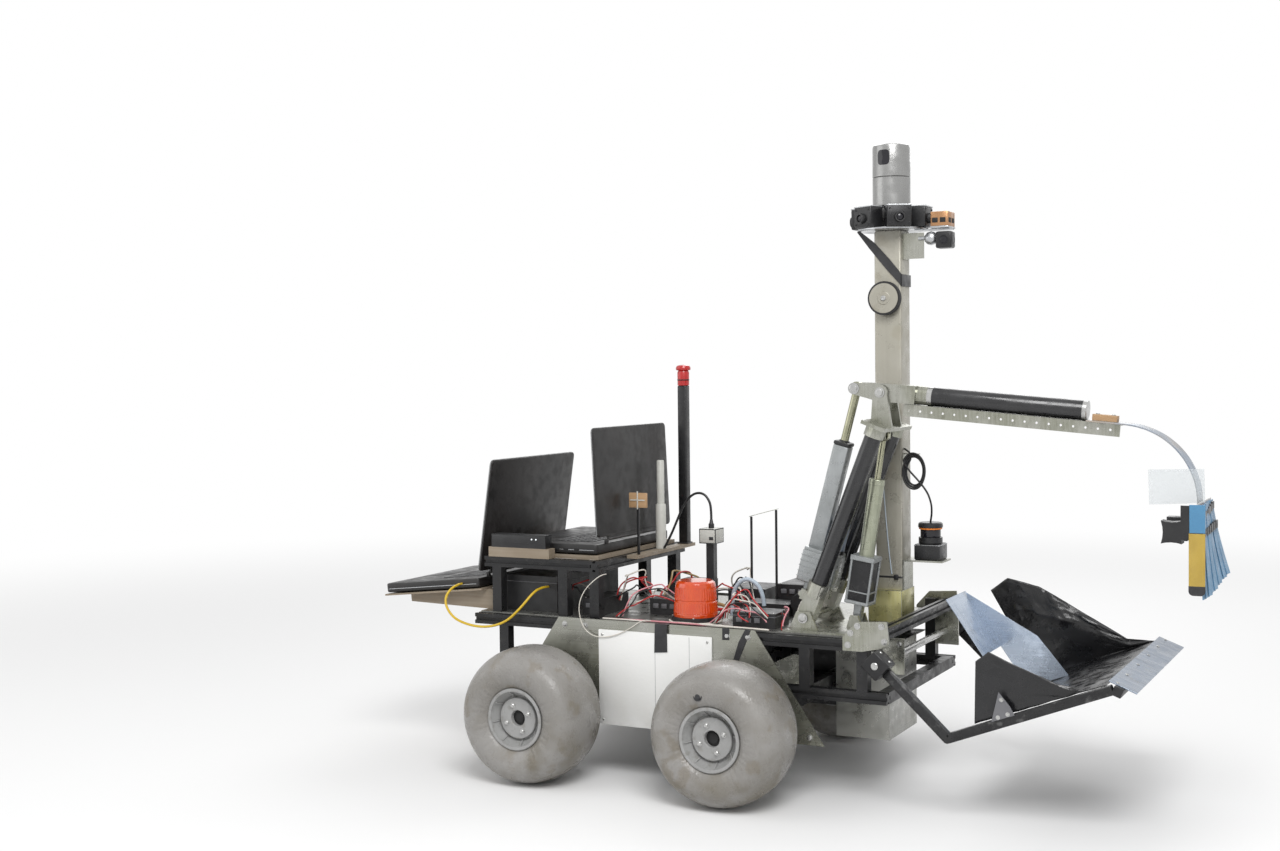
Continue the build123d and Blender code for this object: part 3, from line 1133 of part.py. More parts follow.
def scoop_parts():
    pivot = (SHAFT_STATION, SHAFT_HEIGHT)
    half = ARM_TUBE / 2
    shaft = cross_pin(pivot, (-SHAFT_HALF_LENGTH, SHAFT_HALF_LENGTH), SHAFT_RADIUS)
    heading = degrees(atan2(SCOOP_CORNER[1] - SHAFT_HEIGHT, SCOOP_CORNER[0] - SHAFT_STATION))
    start = shift(pivot, heading, CLAMP_SIZE / 2)
    clamp = beam(spot(shift(pivot, heading, -CLAMP_SIZE / 2), CLAMP_OFFSET), spot(start, CLAMP_OFFSET),
                 CLAMP_SIZE, CLAMP_SIZE)
    arm_sides = (ARM_OFFSET - half, ARM_OFFSET + half)
    arm = beam(spot(start, ARM_OFFSET), spot(SCOOP_CORNER, ARM_OFFSET), ARM_TUBE, ARM_TUBE)
    arm += beam(spot(SCOOP_CORNER, ARM_OFFSET), spot(SCOOP_TIP, ARM_OFFSET), ARM_TUBE, ARM_TUBE)
    arm += cross_prism(SCOOP_CORNER, arm_sides, half, BORE_SIDES)
    arm += profile_plate(GUSSET_OUTLINE, (arm_sides[1] - FUSE, arm_sides[1] + GUSSET_THICKNESS))
    blade_heading = degrees(atan2(BLADE_FRONT[1] - BLADE_BACK[1], BLADE_FRONT[0] - BLADE_BACK[0]))
    bar_start = shift(BLADE_BACK, blade_heading, CROSS_BAR_SETBACK - half)
    frame = arm + mirrored(arm) + profile_plate(
        [bar_start, shift(bar_start, blade_heading, ARM_TUBE),
         shift(shift(bar_start, blade_heading, ARM_TUBE), blade_heading - 90, ARM_TUBE),
         shift(bar_start, blade_heading - 90, ARM_TUBE)], (-arm_sides[1], arm_sides[1]))
    blade = profile_plate([BLADE_BACK, BLADE_FRONT, shift(BLADE_FRONT, blade_heading + 90, BLADE_THICKNESS),
                           shift(BLADE_BACK, blade_heading + 90, BLADE_THICKNESS)], (-ARM_OFFSET, ARM_OFFSET))
    flap_heading = degrees(atan2(FLAP_FOOT[1] - FLAP_TOP[1], FLAP_FOOT[0] - FLAP_TOP[0]))
    flap = profile_plate([FLAP_TOP, FLAP_FOOT, shift(FLAP_FOOT, flap_heading + 90, SHEET),
                          shift(FLAP_TOP, flap_heading + 90, SHEET)], FLAP_SIDES)
    over_film = SEAT + FILM + SEAT
    slide = profile_plate([FLAP_TOP, SLIDE_TOP, (SLIDE_FOOT_FRONT, tube_top(SLIDE_FOOT_FRONT) + over_film),
                           (SLIDE_FOOT_REAR, tube_top(SLIDE_FOOT_REAR) + over_film), FLAP_FOOT],
                          (FLAP_SIDES[1] - SHEET, FLAP_SIDES[1]))
    right, left = -ARM_OFFSET - FILM_OVERHANG, ARM_OFFSET - FILM_LEFT_INSET
    near = FILM_RIGHT_INSET - ARM_OFFSET
    rear_low = (FILM_REAR, tube_top(FILM_REAR) + SEAT)
    front_low = (FILM_FRONT, tube_top(FILM_FRONT) + SEAT)
    rear_high = (FILM_REAR, rear_low[1] + FILM)
    front_high = (FILM_FRONT, front_low[1] + FILM)
    film = profile_plate([rear_low, front_low, front_high, rear_high], (right, left))
    film += profile_plate([rear_low, *FILM_FAR_EDGE, front_high], (left - FILM, left))
    film += profile_plate([rear_low, *FILM_NEAR_EDGE, front_high], (near, near + FILM))
    x, z = FILM_REAR_TOP
    film += profile_plate([rear_low, (x, z), (x + FILM, z), (FILM_REAR + FILM, rear_low[1])],
                          (near, FILM_REAR_REACH))
    return {
        "scoop_hinge": [shaft + clamp + mirrored(clamp)],
        "scoop_frame": [frame],
        "scoop_blade": [blade],
        "scoop_chute": [flap + slide],
        "scoop_film": [film],
    }


# Yellow cable that hangs in a loop from the lower laptop's side to the box under the shelf

CABLE_RADIUS = 3
CABLE_SIDES = 6
CABLE_POINTS = [  # station, offset, height
    (-530, -222, 424), (-531, -258, 424), (-540, -287, 392), (-514, -291, 352), (-466, -289, 335),
    (-412, -288, 333), (-360, -288, 349), (-320, -285, 385), (-301, -258, 420), (-300, -222, 427),
    (-300, -190, 425),
]


def cable_parts():
    radii = []
    for before, corner, after in zip(CABLE_POINTS, CABLE_POINTS[1:], CABLE_POINTS[2:]):
        run_in = Vector(*corner) - Vector(*before)
        run_out = Vector(*after) - Vector(*corner)
        half_turn = radians(run_in.get_angle(run_out) / 2)
        radii.append(0.45 * min(run_in.length, run_out.length) * cos(half_turn) / sin(half_turn))
    path = FilletPolyline(*CABLE_POINTS, radius=radii)
    section = Plane(origin=path @ 0, z_dir=path % 0) * RegularPolygon(CABLE_RADIUS, CABLE_SIDES)
    cable = sweep(section, path=path)
    print("cable radii", [round(radius) for radius in radii], "length", round(path.length),
          "volume over section times length", round(cable.volume / (pi * CABLE_RADIUS ** 2 * path.length), 3))
    return {"yellow_cable": [cable]}


def main():
    os.makedirs("parts", exist_ok=True)
    nodes = {}
    for make in (wheel_parts, frame_parts, plate_parts, drive_parts, bin_parts, deck_parts, shelf_parts,
                 mast_parts, arm_parts, boom_parts, actuator_parts, scoop_parts, cable_parts):
        nodes.update(make())
    for name, solids in nodes.items():
        moved = [Pos(-REACH_MIDDLE, 0, 0) * solid for shape in solids for solid in shape.solids()]
        export_step(moved[0] if len(moved) == 1 else Compound(moved), f"parts/{name}.step")


main()
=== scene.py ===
import math

import bpy
import numpy as np
from mathutils import Matrix, Vector


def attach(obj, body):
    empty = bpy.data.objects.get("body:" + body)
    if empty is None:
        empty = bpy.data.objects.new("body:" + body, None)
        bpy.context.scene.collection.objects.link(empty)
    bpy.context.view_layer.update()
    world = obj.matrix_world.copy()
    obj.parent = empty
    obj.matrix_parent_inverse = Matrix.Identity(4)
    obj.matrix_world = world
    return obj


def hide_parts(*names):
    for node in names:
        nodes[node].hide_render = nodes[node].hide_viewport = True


# Planetary rover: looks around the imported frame, in metres.
# Station and height numbers are the part's own, moved by REACH_MIDDLE into the shared frame.

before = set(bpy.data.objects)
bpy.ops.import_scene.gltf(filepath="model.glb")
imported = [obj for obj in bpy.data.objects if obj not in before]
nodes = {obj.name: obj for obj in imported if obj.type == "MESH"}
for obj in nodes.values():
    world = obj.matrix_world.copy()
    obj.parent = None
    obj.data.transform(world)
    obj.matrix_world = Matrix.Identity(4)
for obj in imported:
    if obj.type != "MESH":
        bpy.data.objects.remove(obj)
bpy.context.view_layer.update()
scene = bpy.context.scene

REACH_MIDDLE = 0.238


# Camera at the photograph's place

CAMERA_PLACE = (1.4434, -3.4821, 0.9489)
CAMERA_YAW = math.radians(117.67)
CAMERA_PITCH = math.radians(-2.04)
CAMERA_ROLL = -0.0115
CAMERA_LENS = 44.79


def make_camera():
    """Camera whose axes come from yaw, pitch and a small roll."""
    cos_yaw, sin_yaw = math.cos(CAMERA_YAW), math.sin(CAMERA_YAW)
    cos_pitch, sin_pitch = math.cos(CAMERA_PITCH), math.sin(CAMERA_PITCH)
    forward = Vector((cos_yaw * cos_pitch, sin_yaw * cos_pitch, sin_pitch))
    right = Vector((sin_yaw, -cos_yaw, 0))
    up = right.cross(forward)
    cos_roll, sin_roll = math.cos(CAMERA_ROLL), math.sin(CAMERA_ROLL)
    side = right * cos_roll + up * sin_roll
    top = up * cos_roll - right * sin_roll
    data = bpy.data.cameras.new("photo_camera")
    data.lens = CAMERA_LENS
    data.sensor_width = 36
    data.clip_end = 60
    camera = bpy.data.objects.new("photo_camera", data)
    camera.matrix_world = Matrix.Translation(CAMERA_PLACE) @ Matrix(
        (side, top, -forward)).transposed().to_4x4()
    scene.collection.objects.link(camera)
    scene.camera = camera


make_camera()


# Surfaces from arrays

SHARP_ANGLE = np.radians(32)
X_AXIS, Y_AXIS, Z_AXIS = np.eye(3)


def add_piece(name, body, material, verts, faces, uv=None):
    """Smooth mesh piece that rides on a body; faces are blocks of equally long corner lists."""
    data = bpy.data.meshes.new(name)
    lists = [face for block in faces for face in np.asarray(block).tolist()]
    data.from_pydata(np.asarray(verts, float).tolist(), [], lists)
    if uv is not None:
        layer = data.uv_layers.new(name="surface")
        corner = np.zeros(len(data.loops), int)
        data.loops.foreach_get("vertex_index", corner)
        layer.data.foreach_set("uv", np.asarray(uv, np.float32)[corner].ravel())
    data.polygons.foreach_set("use_smooth", np.ones(len(data.polygons), bool))
    data.set_sharp_from_angle(angle=SHARP_ANGLE)
    data.materials.append(material)
    piece = bpy.data.objects.new(name, data)
    scene.collection.objects.link(piece)
    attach(piece, body)
    return piece


def grid_faces(rows, columns, wrap_rows, wrap_columns):
    """Quads of a rows by columns grid; each direction may close on itself."""
    i = np.arange(rows if wrap_rows else rows - 1)
    j = np.arange(columns if wrap_columns else columns - 1)
    i, j = np.meshgrid(i, j, indexing="ij")
    i2, j2 = (i + 1) % rows, (j + 1) % columns
    corners = [i * columns + j, i * columns + j2, i2 * columns + j2, i2 * columns + j]
    return np.stack(corners, -1).reshape(-1, 4)


def capped(rows, columns):
    """Faces of a tube of rings, with one flat face at each end."""
    ring = np.arange(columns)
    return [grid_faces(rows, columns, False, True), [ring[::-1].tolist()],
        [((rows - 1) * columns + ring).tolist()]]


def frame_of(axis):
    """Three unit vectors, the last along the axis."""
    w = np.asarray(axis, float)
    w = w / np.linalg.norm(w)
    helper = np.array([0.0, 0, 1]) if abs(w[2]) < 0.9 else np.array([1.0, 0, 0])
    u = np.cross(helper, w)
    u /= np.linalg.norm(u)
    return u, np.cross(w, u), w


def turned_points(profile, centre, axis, count):
    """Profile carried round an axis: point = centre + reach w + radius (cos t u + sin t v)."""
    u, v, w = frame_of(axis)
    t = np.linspace(0, 2 * np.pi, count, endpoint=False)
    ring = np.cos(t)[:, None] * u + np.sin(t)[:, None] * v
    radius, reach = np.asarray(profile, float).T
    return np.asarray(centre, float) + reach[:, None, None] * w + radius[:, None, None] * ring


def turned_part(profile, centre=(0, 0, 0), axis=Z_AXIS, count=48):
    """Turned solid; its profile of (radius, reach) runs from the low end to the high end."""
    points = turned_points(profile, centre, axis, count)
    return points.reshape(-1, 3), capped(len(points), count)


def joined(parts):
    """Several (vertices, face blocks) as one."""
    verts, faces, start = [], [], 0
    for v, blocks in parts:
        verts.append(np.asarray(v, float))
        faces.extend((np.asarray(block) + start) for block in blocks)
        start += len(v)
    return np.concatenate(verts), faces


def at(station, offset, height):
    """Point from its station forward of the axles' middle, its offset to the left and its height."""
    return np.array([station - REACH_MIDDLE, offset, height])


def outline(width, depth, radius, corner=4):
    """Rounded rectangle as points, anticlockwise."""
    radius = min(radius, width / 2 * 0.999, depth / 2 * 0.999)
    t = np.linspace(0, np.pi / 2, corner)
    parts = []
    for k, (sx, sy) in enumerate(((1, 1), (-1, 1), (-1, -1), (1, -1))):
        a = t + k * np.pi / 2
        parts.append(np.stack([sx * (width / 2 - radius) + radius * np.cos(a),
            sy * (depth / 2 - radius) + radius * np.sin(a)], -1))
    return np.concatenate(parts)


LEAST_FLAT = 2.01  # a side is at least this many edge radii long, so that some of it stays flat


def rounded_bar(start, end, width, depth, radius=0.002, across=None, corner=4):
    """Rounded rectangle carried from start to end, drawn in at both ends by the same radius."""
    start, end = np.asarray(start, float), np.asarray(end, float)
    length = np.linalg.norm(end - start)
    w = (end - start) / length
    if across is None:
        u = frame_of(w)[0]
    else:
        u = np.asarray(across, float) - w * np.dot(across, w)
        u /= np.linalg.norm(u)
    v = np.cross(w, u)
    radius = min(radius, length / LEAST_FLAT, width / LEAST_FLAT, depth / LEAST_FLAT)
    base = outline(width, depth, radius, corner)
    a = np.linspace(0, np.pi / 2, 3)
    inset = np.concatenate([radius * (1 - np.sin(a)), radius * (1 - np.sin(a[::-1]))])
    reach = np.concatenate([radius * (1 - np.cos(a)), length - radius * (1 - np.cos(a[::-1]))])
    half = np.array([width / 2, depth / 2])
    scaled = base[None] * ((half - inset[:, None]) / half)[:, None, :]
    points = start + reach[:, None, None] * w + scaled[..., :1] * u + scaled[..., 1:] * v
    return points.reshape(-1, 3), capped(len(reach), len(base))


def rounded_box(low, high, radius=0.002, corner=4):
    """Box between two corners with rounded edges, a rounded bar along its height."""
    low, high = np.minimum(low, high), np.maximum(low, high)
    middle = (low + high) / 2
    return rounded_bar((middle[0], middle[1], low[2]), (middle[0], middle[1], high[2]), high[0] - low[0],
        high[1] - low[1], radius, across=X_AXIS, corner=corner)


def inset(points, amount):
    """Closed anticlockwise outline with every corner moved inwards along its own bisector."""
    p = np.asarray(points, float)
    a, b = p - np.roll(p, 1, 0), np.roll(p, -1, 0) - p
    a /= np.linalg.norm(a, axis=1)[:, None]
    b /= np.linalg.norm(b, axis=1)[:, None]
    turn = (a * b).sum(1)
    inward = np.stack([-a[:, 1] - b[:, 1], a[:, 0] + b[:, 0]], -1) / (1 + turn)[:, None]
    return p + amount * inward


def sheet_part(points, low, high, edge=0.0006):
    """Flat plate with eased edges from an outline of stations and heights, between two offsets."""
    p = np.asarray(points, float)
    x, z = p.T
    if (x * np.roll(z, -1) - np.roll(x, -1) * z).sum() > 0:
        p = p[::-1]
    edge = min(edge, (high - low) / LEAST_FLAT)
    small = inset(p * (1, -1), edge) * (1, -1)
    rows = [(small, low), (p, low + edge), (p, high - edge), (small, high)]
    verts = np.concatenate([np.insert(q, 1, y, axis=1) for q, y in rows]) - (REACH_MIDDLE, 0, 0)
    return verts, capped(len(rows), len(p))


def box_at(stations, offsets, heights, radius=0.0015, corner=3):
    """Box with rounded edges between two stations, two offsets and two heights."""
    low, high = (np.array([pair[k] for pair in (stations, offsets, heights)]) for k in (0, 1))
    return rounded_box(low - (REACH_MIDDLE, 0, 0), high - (REACH_MIDDLE, 0, 0), radius, corner)


def head_screw(place, axis, radius=0.003, reach=0.0018):
    """Small domed screw head with a sunk drive."""
    profile = [(1, -0.0005 / reach), (1, 0.5), (0.8, 0.9), (0.45, 1), (0.4, 0.35), (0.05, 0.3)]
    return turned_part(np.multiply(profile, (radius, reach)), place, axis, 18)


def carried(part, origin, axes):
    """A part built in its own frame, placed in the shared one: origin + local point times the axes."""
    return np.asarray(part[0]) @ axes + origin, part[1]


def all_carried(parts, origin, axes):
    """Every part of a list carried the same way."""
    return [carried(part, origin, axes) for part in parts]


def dress(name, body, material, parts, nodes_replaced=()):
    """Piece made of several parts, with its body, its material and the CAD nodes that it stands for."""
    piece = add_piece(name, body, material, *joined(parts))
    for node in nodes_replaced:
        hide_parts(node)


def round_bar(start, end, radius, count=40):
    """Turned bar between two points with a small chamfer at each end."""
    edge, length = 0.0008, np.linalg.norm(np.subtract(end, start))
    return turned_part([(radius - edge, 0), (radius, edge), (radius, length - edge),
        (radius - edge, length)], start, np.subtract(end, start), count)


def nurbs_cord(name, points, radius, material):
    """Curve of one open spline whose control points are the route's points."""
    data = bpy.data.curves.new(name, "CURVE")
    data.dimensions = "3D"
    data.bevel_depth = radius
    data.bevel_resolution = 5
    data.use_fill_caps = True
    data.materials.append(material)
    spline = data.splines.new("NURBS")
    spline.points.add(len(points) - 1)
    for place, (x, y, z) in zip(spline.points, points):
        place.co = (x - REACH_MIDDLE, y, z, 1)
    spline.order_u = 3
    spline.use_endpoint_u = True
    spline.resolution_u = 12
    piece = bpy.data.objects.new(name, data)
    scene.collection.objects.link(piece)
    return piece


def lead(name, body, material, points, radius, declared=True):
    """Thin lead between two places on the rover; declared has no effect."""
    piece = nurbs_cord(name, points, radius, material)
    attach(piece, body)
    if not declared:
        return


# Layers that the finishes are made of

def feed(tree, socket, value):
    """Links an output to an input, or sets the input; a colour gets its fourth number here."""
    if isinstance(value, bpy.types.NodeSocket):
        tree.links.new(value, socket)
    else:
        socket.default_value = (*value, 1) if socket.type == "RGBA" else value


def add_node(tree, kind, inputs=None, **settings):
    """Shader node with its settings, and its inputs fed by values or by outputs."""
    node = tree.nodes.new(f"ShaderNode{kind}")
    for label, value in settings.items():
        setattr(node, label, value)
    for key, value in (inputs or {}).items():
        feed(tree, node.inputs[key], value)
    return node


def mask_group(name, build, **values):
    """Shader node group with named inputs and one mask, which build makes from the inputs' outputs."""
    tree = bpy.data.node_groups.new(name, "ShaderNodeTree")
    for label, value in values.items():
        kind = "NodeSocketVector" if isinstance(value, tuple) else "NodeSocketFloat"
        tree.interface.new_socket(label, in_out="INPUT", socket_type=kind).default_value = value
    tree.interface.new_socket("Mask", in_out="OUTPUT", socket_type="NodeSocketFloat")
    source = tree.nodes.new("NodeGroupInput").outputs
    out = tree.nodes.new("NodeGroupOutput")
    place = add_node(tree, "TexCoord").outputs["Object"]
    tree.links.new(build(tree, source, place), out.inputs["Mask"])
    return tree


def soft_patches(tree, source, place):
    """Soft patches: noise on Object coordinates, sharpened between two levels."""
    noise = add_node(tree, "TexNoise", {"Vector": place, "Scale": source["Scale"],
        "Detail": source["Detail"]})
    level = {"Value": noise.outputs["Fac"], "From Min": source["Low"], "From Max": source["High"]}
    return add_node(tree, "MapRange", level, interpolation_type="SMOOTHSTEP").outputs["Result"]


def stretched_lines(tree, source, place):
    """Fine lines: noise stretched along one axis of the Object coordinates."""
    long = add_node(tree, "VectorMath", {0: place, 1: source["Stretch"]}, operation="MULTIPLY").outputs[0]
    noise = add_node(tree, "TexNoise", {"Vector": long, "Scale": 1.0, "Detail": 3.0})
    level = {"Value": noise.outputs["Fac"], "From Min": source["Low"], "From Max": source["High"]}
    return add_node(tree, "MapRange", level).outputs["Result"]


def low_shade_and_dirt(tree, source, place):
    """Darkening that thickens from the clear height down to the floor, broken up by noise; on the tyres it
    is painted shade of their lower side together with dirt.
    """
    height = add_node(tree, "SeparateXYZ", {0: place}).outputs["Z"]
    level = add_node(tree, "MapRange", {"Value": height, "From Min": 0.0, "From Max": source["Clear"],
        "To Min": 1.0, "To Max": 0.0})
    noise = add_node(tree, "TexNoise", {"Vector": place, "Scale": 14.0, "Detail": 6.0})
    spread = add_node(tree, "MapRange", {"Value": noise.outputs["Fac"], "From Min": 0.42, "From Max": 0.68})
    return add_node(tree, "Math", {0: level.outputs["Result"], 1: spread.outputs["Result"]},
        operation="MULTIPLY").outputs[0]


PATCHES = mask_group("soft_patches", soft_patches, Scale=10.0, Low=0.4, High=0.6, Detail=5.0)
LINES = mask_group("stretched_lines", stretched_lines, Stretch=(3.0, 3.0, 400.0), Low=0.3, High=0.7)
# Darkening towards the floor: painted shade on the tyres, together with dirt.
LOW_SHADE_AND_DIRT = mask_group("low_shade_and_dirt", low_shade_and_dirt, Clear=0.4)


def mask_of(tree, group, **values):
    """Mask output of one of the groups placed in a material."""
    return add_node(tree, "Group", values, node_tree=group).outputs[0]


def blended(tree, mask, share, under, over):
    """Colour mixed towards another by a mask times a share; either may be a colour or an output."""
    part = add_node(tree, "Math", {0: mask, 1: share}, operation="MULTIPLY").outputs[0]
    return add_node(tree, "Mix", {"Factor": part, "A": under, "B": over},
        data_type="RGBA").outputs["Result"]


BUMP_STRENGTH = GLOW_STRENGTH = 0.6


def finish(name, colour, roughness=0.5, metallic=0.0, patches=None, specks=None, lines=None, shade_and_dirt=None,
        grain=None, roughness_spread=0.12, coat=0.0, alpha=1.0, transmission=0.0, glow=None, sheen=0.0):
    """Material for one finish of the rover.

    patches and specks are (scale, share, other colour); lines is (stretch, share, other colour, bump);
    the darkening towards the floor is (height where it ends, share, colour), on the tyres painted shade
    with dirt; grain is (scale, bump height in metres)."""
    material = bpy.data.materials.new(name)
    material.use_nodes = True
    tree = material.node_tree
    shader = tree.nodes["Principled BSDF"].inputs
    for label, value in (("Metallic", metallic), ("Coat Weight", coat),
            ("Transmission Weight", transmission), ("Sheen Weight", sheen), ("Alpha", alpha)):
        shader[label].default_value = value
    layers, heights = [], []
    if patches:
        scale, *over = patches
        layers.append((mask_of(tree, PATCHES, Scale=scale, Low=0.38, High=0.64), *over))
    if specks:
        scale, *over = specks
        layers.append((mask_of(tree, PATCHES, Scale=scale, Low=0.56, High=0.66, Detail=8.0), *over))
    if lines:
        stretch, *over, bump = lines
        mask = mask_of(tree, LINES, Stretch=stretch, Low=0.35, High=0.7)
        layers.append((mask, *over))
        heights.append((mask, bump))
    if shade_and_dirt:
        clear, *over = shade_and_dirt
        layers.append((mask_of(tree, LOW_SHADE_AND_DIRT, Clear=clear), *over))
    for mask, share, other in layers:
        colour = blended(tree, mask, share, colour, other)
    feed(tree, shader["Base Color"], colour)
    uneven = mask_of(tree, PATCHES, Scale=37.0, Low=0.3, High=0.7)
    level = add_node(tree, "MapRange", {"Value": uneven, "To Min": max(roughness - roughness_spread, 0.02),
        "To Max": min(roughness + roughness_spread, 1.0)})
    feed(tree, shader["Roughness"], level.outputs["Result"])
    if grain:
        scale, bump = grain
        heights.append((mask_of(tree, PATCHES, Scale=scale, Low=0.2, High=0.8, Detail=4.0), bump))
    for mask, bump in heights:
        raised = add_node(tree, "Bump", {"Strength": BUMP_STRENGTH, "Distance": bump, "Height": mask})
        if shader["Normal"].links:
            feed(tree, raised.inputs["Normal"], shader["Normal"].links[0].from_socket)
        feed(tree, shader["Normal"], raised.outputs["Normal"])
    if glow:
        feed(tree, shader["Emission Color"], glow)
        shader["Emission Strength"].default_value = GLOW_STRENGTH
    return material


# Finishes of this rover

# Tyres: their brown darkening towards the floor is painted shade of the lower side together with dirt; the
# brown specks are dirt.
RUBBER = finish("balloon_rubber", (0.275, 0.265, 0.252), 0.33, patches=(7.0, 0.6, (0.205, 0.195, 0.18)),
    specks=(19.0, 0.4, (0.155, 0.125, 0.08)), shade_and_dirt=(0.3, 0.8, (0.12, 0.1, 0.06)), grain=(210.0, 0.0007),
    roughness_spread=0.14)
RIM_GREY = finish("rim_grey", (0.33, 0.33, 0.325), 0.36, patches=(22.0, 0.4, (0.25, 0.25, 0.245)),
    specks=(60.0, 0.35, (0.16, 0.15, 0.12)), grain=(420.0, 0.0003))
BOLT_STEEL = finish("bolt_steel", (0.5, 0.5, 0.49), 0.26, 1.0, patches=(60.0, 0.4, (0.34, 0.34, 0.33)))
# Near-black finish for the floors of holes, slots and ports: painted shade of their depth.
PAINTED_HOLE_SHADE = finish("painted_hole_shade", (0.008, 0.008, 0.008), 0.7, grain=(300.0, 0.0002))
BLACK_BAR = finish("black_bar", (0.01, 0.01, 0.011), 0.36, 0.2, patches=(14.0, 0.5, (0.02, 0.02, 0.021)),
    specks=(48.0, 0.12, (0.1, 0.095, 0.085)),
    lines=((6.0, 700.0, 700.0), 0.25, (0.026, 0.026, 0.027), 0.0001))
MILL_ALUMINIUM = finish("mill_aluminium", (0.37, 0.37, 0.35), 0.34, 0.9,
    patches=(8.0, 0.5, (0.26, 0.26, 0.23)), lines=((5.0, 600.0, 5.0), 0.4, (0.24, 0.24, 0.22), 0.0001))
# Side plates: darker and browner towards the floor.
BRUSHED_PLATE = finish("brushed_plate", (0.36, 0.36, 0.33), 0.3, 0.85,
    patches=(4.5, 0.7, (0.22, 0.225, 0.165)), lines=((4.0, 4.0, 900.0), 0.45, (0.46, 0.46, 0.43), 0.0001),
    shade_and_dirt=(0.24, 0.5, (0.13, 0.115, 0.07)))
# Sign: darker and browner towards the floor.
SIGN_WHITE = finish("sign_white", (0.8, 0.8, 0.785), 0.4, patches=(4.0, 0.35, (0.7, 0.7, 0.68)),
    shade_and_dirt=(0.22, 0.5, (0.36, 0.33, 0.25)), grain=(150.0, 0.0002))
WORN_ALUMINIUM = finish("worn_aluminium", (0.36, 0.36, 0.32), 0.3, 0.85,
    patches=(13.0, 0.65, (0.21, 0.215, 0.155)), specks=(60.0, 0.2, (0.12, 0.115, 0.09)),
    lines=((300.0, 20.0, 20.0), 0.35, (0.5, 0.5, 0.46), 0.0001))
BLACK_CASE = finish("black_case", (0.01, 0.01, 0.011), 0.42, patches=(30.0, 0.5, (0.019, 0.019, 0.02)),
    grain=(600.0, 0.0003))
GREY_CASE = finish("grey_case", (0.15, 0.15, 0.16), 0.42, patches=(20.0, 0.4, (0.11, 0.11, 0.12)),
    grain=(500.0, 0.0003))
MAST_CREAM = finish("mast_cream", (0.4, 0.385, 0.335), 0.36, 0.35, patches=(5.0, 0.5, (0.31, 0.295, 0.24)),
    specks=(17.0, 0.3, (0.24, 0.21, 0.14)), lines=((90.0, 90.0, 3.0), 0.35, (0.3, 0.285, 0.24), 0.0002))
CARBON = finish("black_tube", (0.008, 0.008, 0.009), 0.26, patches=(18.0, 0.5, (0.018, 0.018, 0.02)),
    coat=0.25, lines=((30.0, 30.0, 500.0), 0.3, (0.022, 0.022, 0.024), 0.0001))
ACTUATOR_GREY = finish("actuator_grey", (0.34, 0.355, 0.36), 0.34, 0.5,
    patches=(16.0, 0.5, (0.25, 0.265, 0.265)), specks=(50.0, 0.15, (0.13, 0.13, 0.12)),
    lines=((200.0, 200.0, 6.0), 0.3, (0.26, 0.27, 0.27), 0.0001))
MOTOR_BLACK = finish("motor_black", (0.013, 0.013, 0.014), 0.36, 0.2,
    patches=(30.0, 0.4, (0.025, 0.025, 0.027)), specks=(70.0, 0.12, (0.1, 0.1, 0.095)),
    grain=(500.0, 0.0002))
GROUND_ROD = finish("ground_rod", (0.4, 0.395, 0.28), 0.22, 0.9, patches=(30.0, 0.5, (0.28, 0.28, 0.19)),
    lines=((120.0, 120.0, 900.0), 0.3, (0.24, 0.24, 0.18), 0.00005))
SENSOR_BLACK = finish("sensor_black", (0.011, 0.011, 0.012), 0.34, 0.1,
    patches=(40.0, 0.4, (0.022, 0.022, 0.024)), grain=(700.0, 0.0002))
LIDAR_SILVER = finish("lidar_silver", (0.3, 0.3, 0.295), 0.3, 0.8, patches=(9.0, 0.5, (0.22, 0.22, 0.215)),
    lines=((8.0, 8.0, 900.0), 0.25, (0.36, 0.36, 0.35), 0.00005))
LAPTOP_BLACK = finish("laptop_black", (0.012, 0.0115, 0.0115), 0.4,
    patches=(6.0, 0.6, (0.022, 0.019, 0.018)), grain=(900.0, 0.0002))
SCREEN_GLASS = finish("screen_glass", (0.006, 0.007, 0.009), 0.08, patches=(9.0, 0.4, (0.015, 0.017, 0.02)),
    roughness_spread=0.05)
TAN_BOARD = finish("tan_board", (0.3, 0.25, 0.19), 0.55, patches=(9.0, 0.5, (0.21, 0.17, 0.12)),
    lines=((5.0, 160.0, 160.0), 0.45, (0.18, 0.13, 0.08), 0.0002))
TOOL_BLUE = finish("tool_blue", (0.075, 0.235, 0.4), 0.5, patches=(24.0, 0.6, (0.045, 0.15, 0.28)),
    lines=((4.0, 120.0, 4.0), 0.5, (0.03, 0.09, 0.17), 0.0003), grain=(800.0, 0.0003), sheen=0.2)
SCOOP_BLACK = finish("scoop_black", (0.013, 0.013, 0.014), 0.3, 0.3,
    patches=(24.0, 0.5, (0.03, 0.03, 0.031)), specks=(34.0, 0.35, (0.22, 0.22, 0.215)),
    lines=((60.0, 60.0, 60.0), 0.2, (0.05, 0.05, 0.05), 0.0002))
BLADE_STEEL = finish("blade_steel", (0.21, 0.25, 0.31), 0.28, 0.85,
    patches=(12.0, 0.6, (0.14, 0.165, 0.21)), specks=(38.0, 0.3, (0.12, 0.1, 0.07)),
    lines=((8.0, 260.0, 8.0), 0.5, (0.38, 0.42, 0.49), 0.0001))
CHUTE_METAL = finish("chute_metal", (0.47, 0.54, 0.64), 0.24, 0.85, patches=(7.0, 0.5, (0.35, 0.41, 0.5)),
    specks=(26.0, 0.25, (0.16, 0.14, 0.1)), lines=((8.0, 8.0, 300.0), 0.3, (0.6, 0.66, 0.76), 0.0001))
FILM_BLACK = finish("film_black", (0.009, 0.009, 0.01), 0.28, patches=(16.0, 0.4, (0.018, 0.018, 0.02)),
    grain=(45.0, 0.0012))
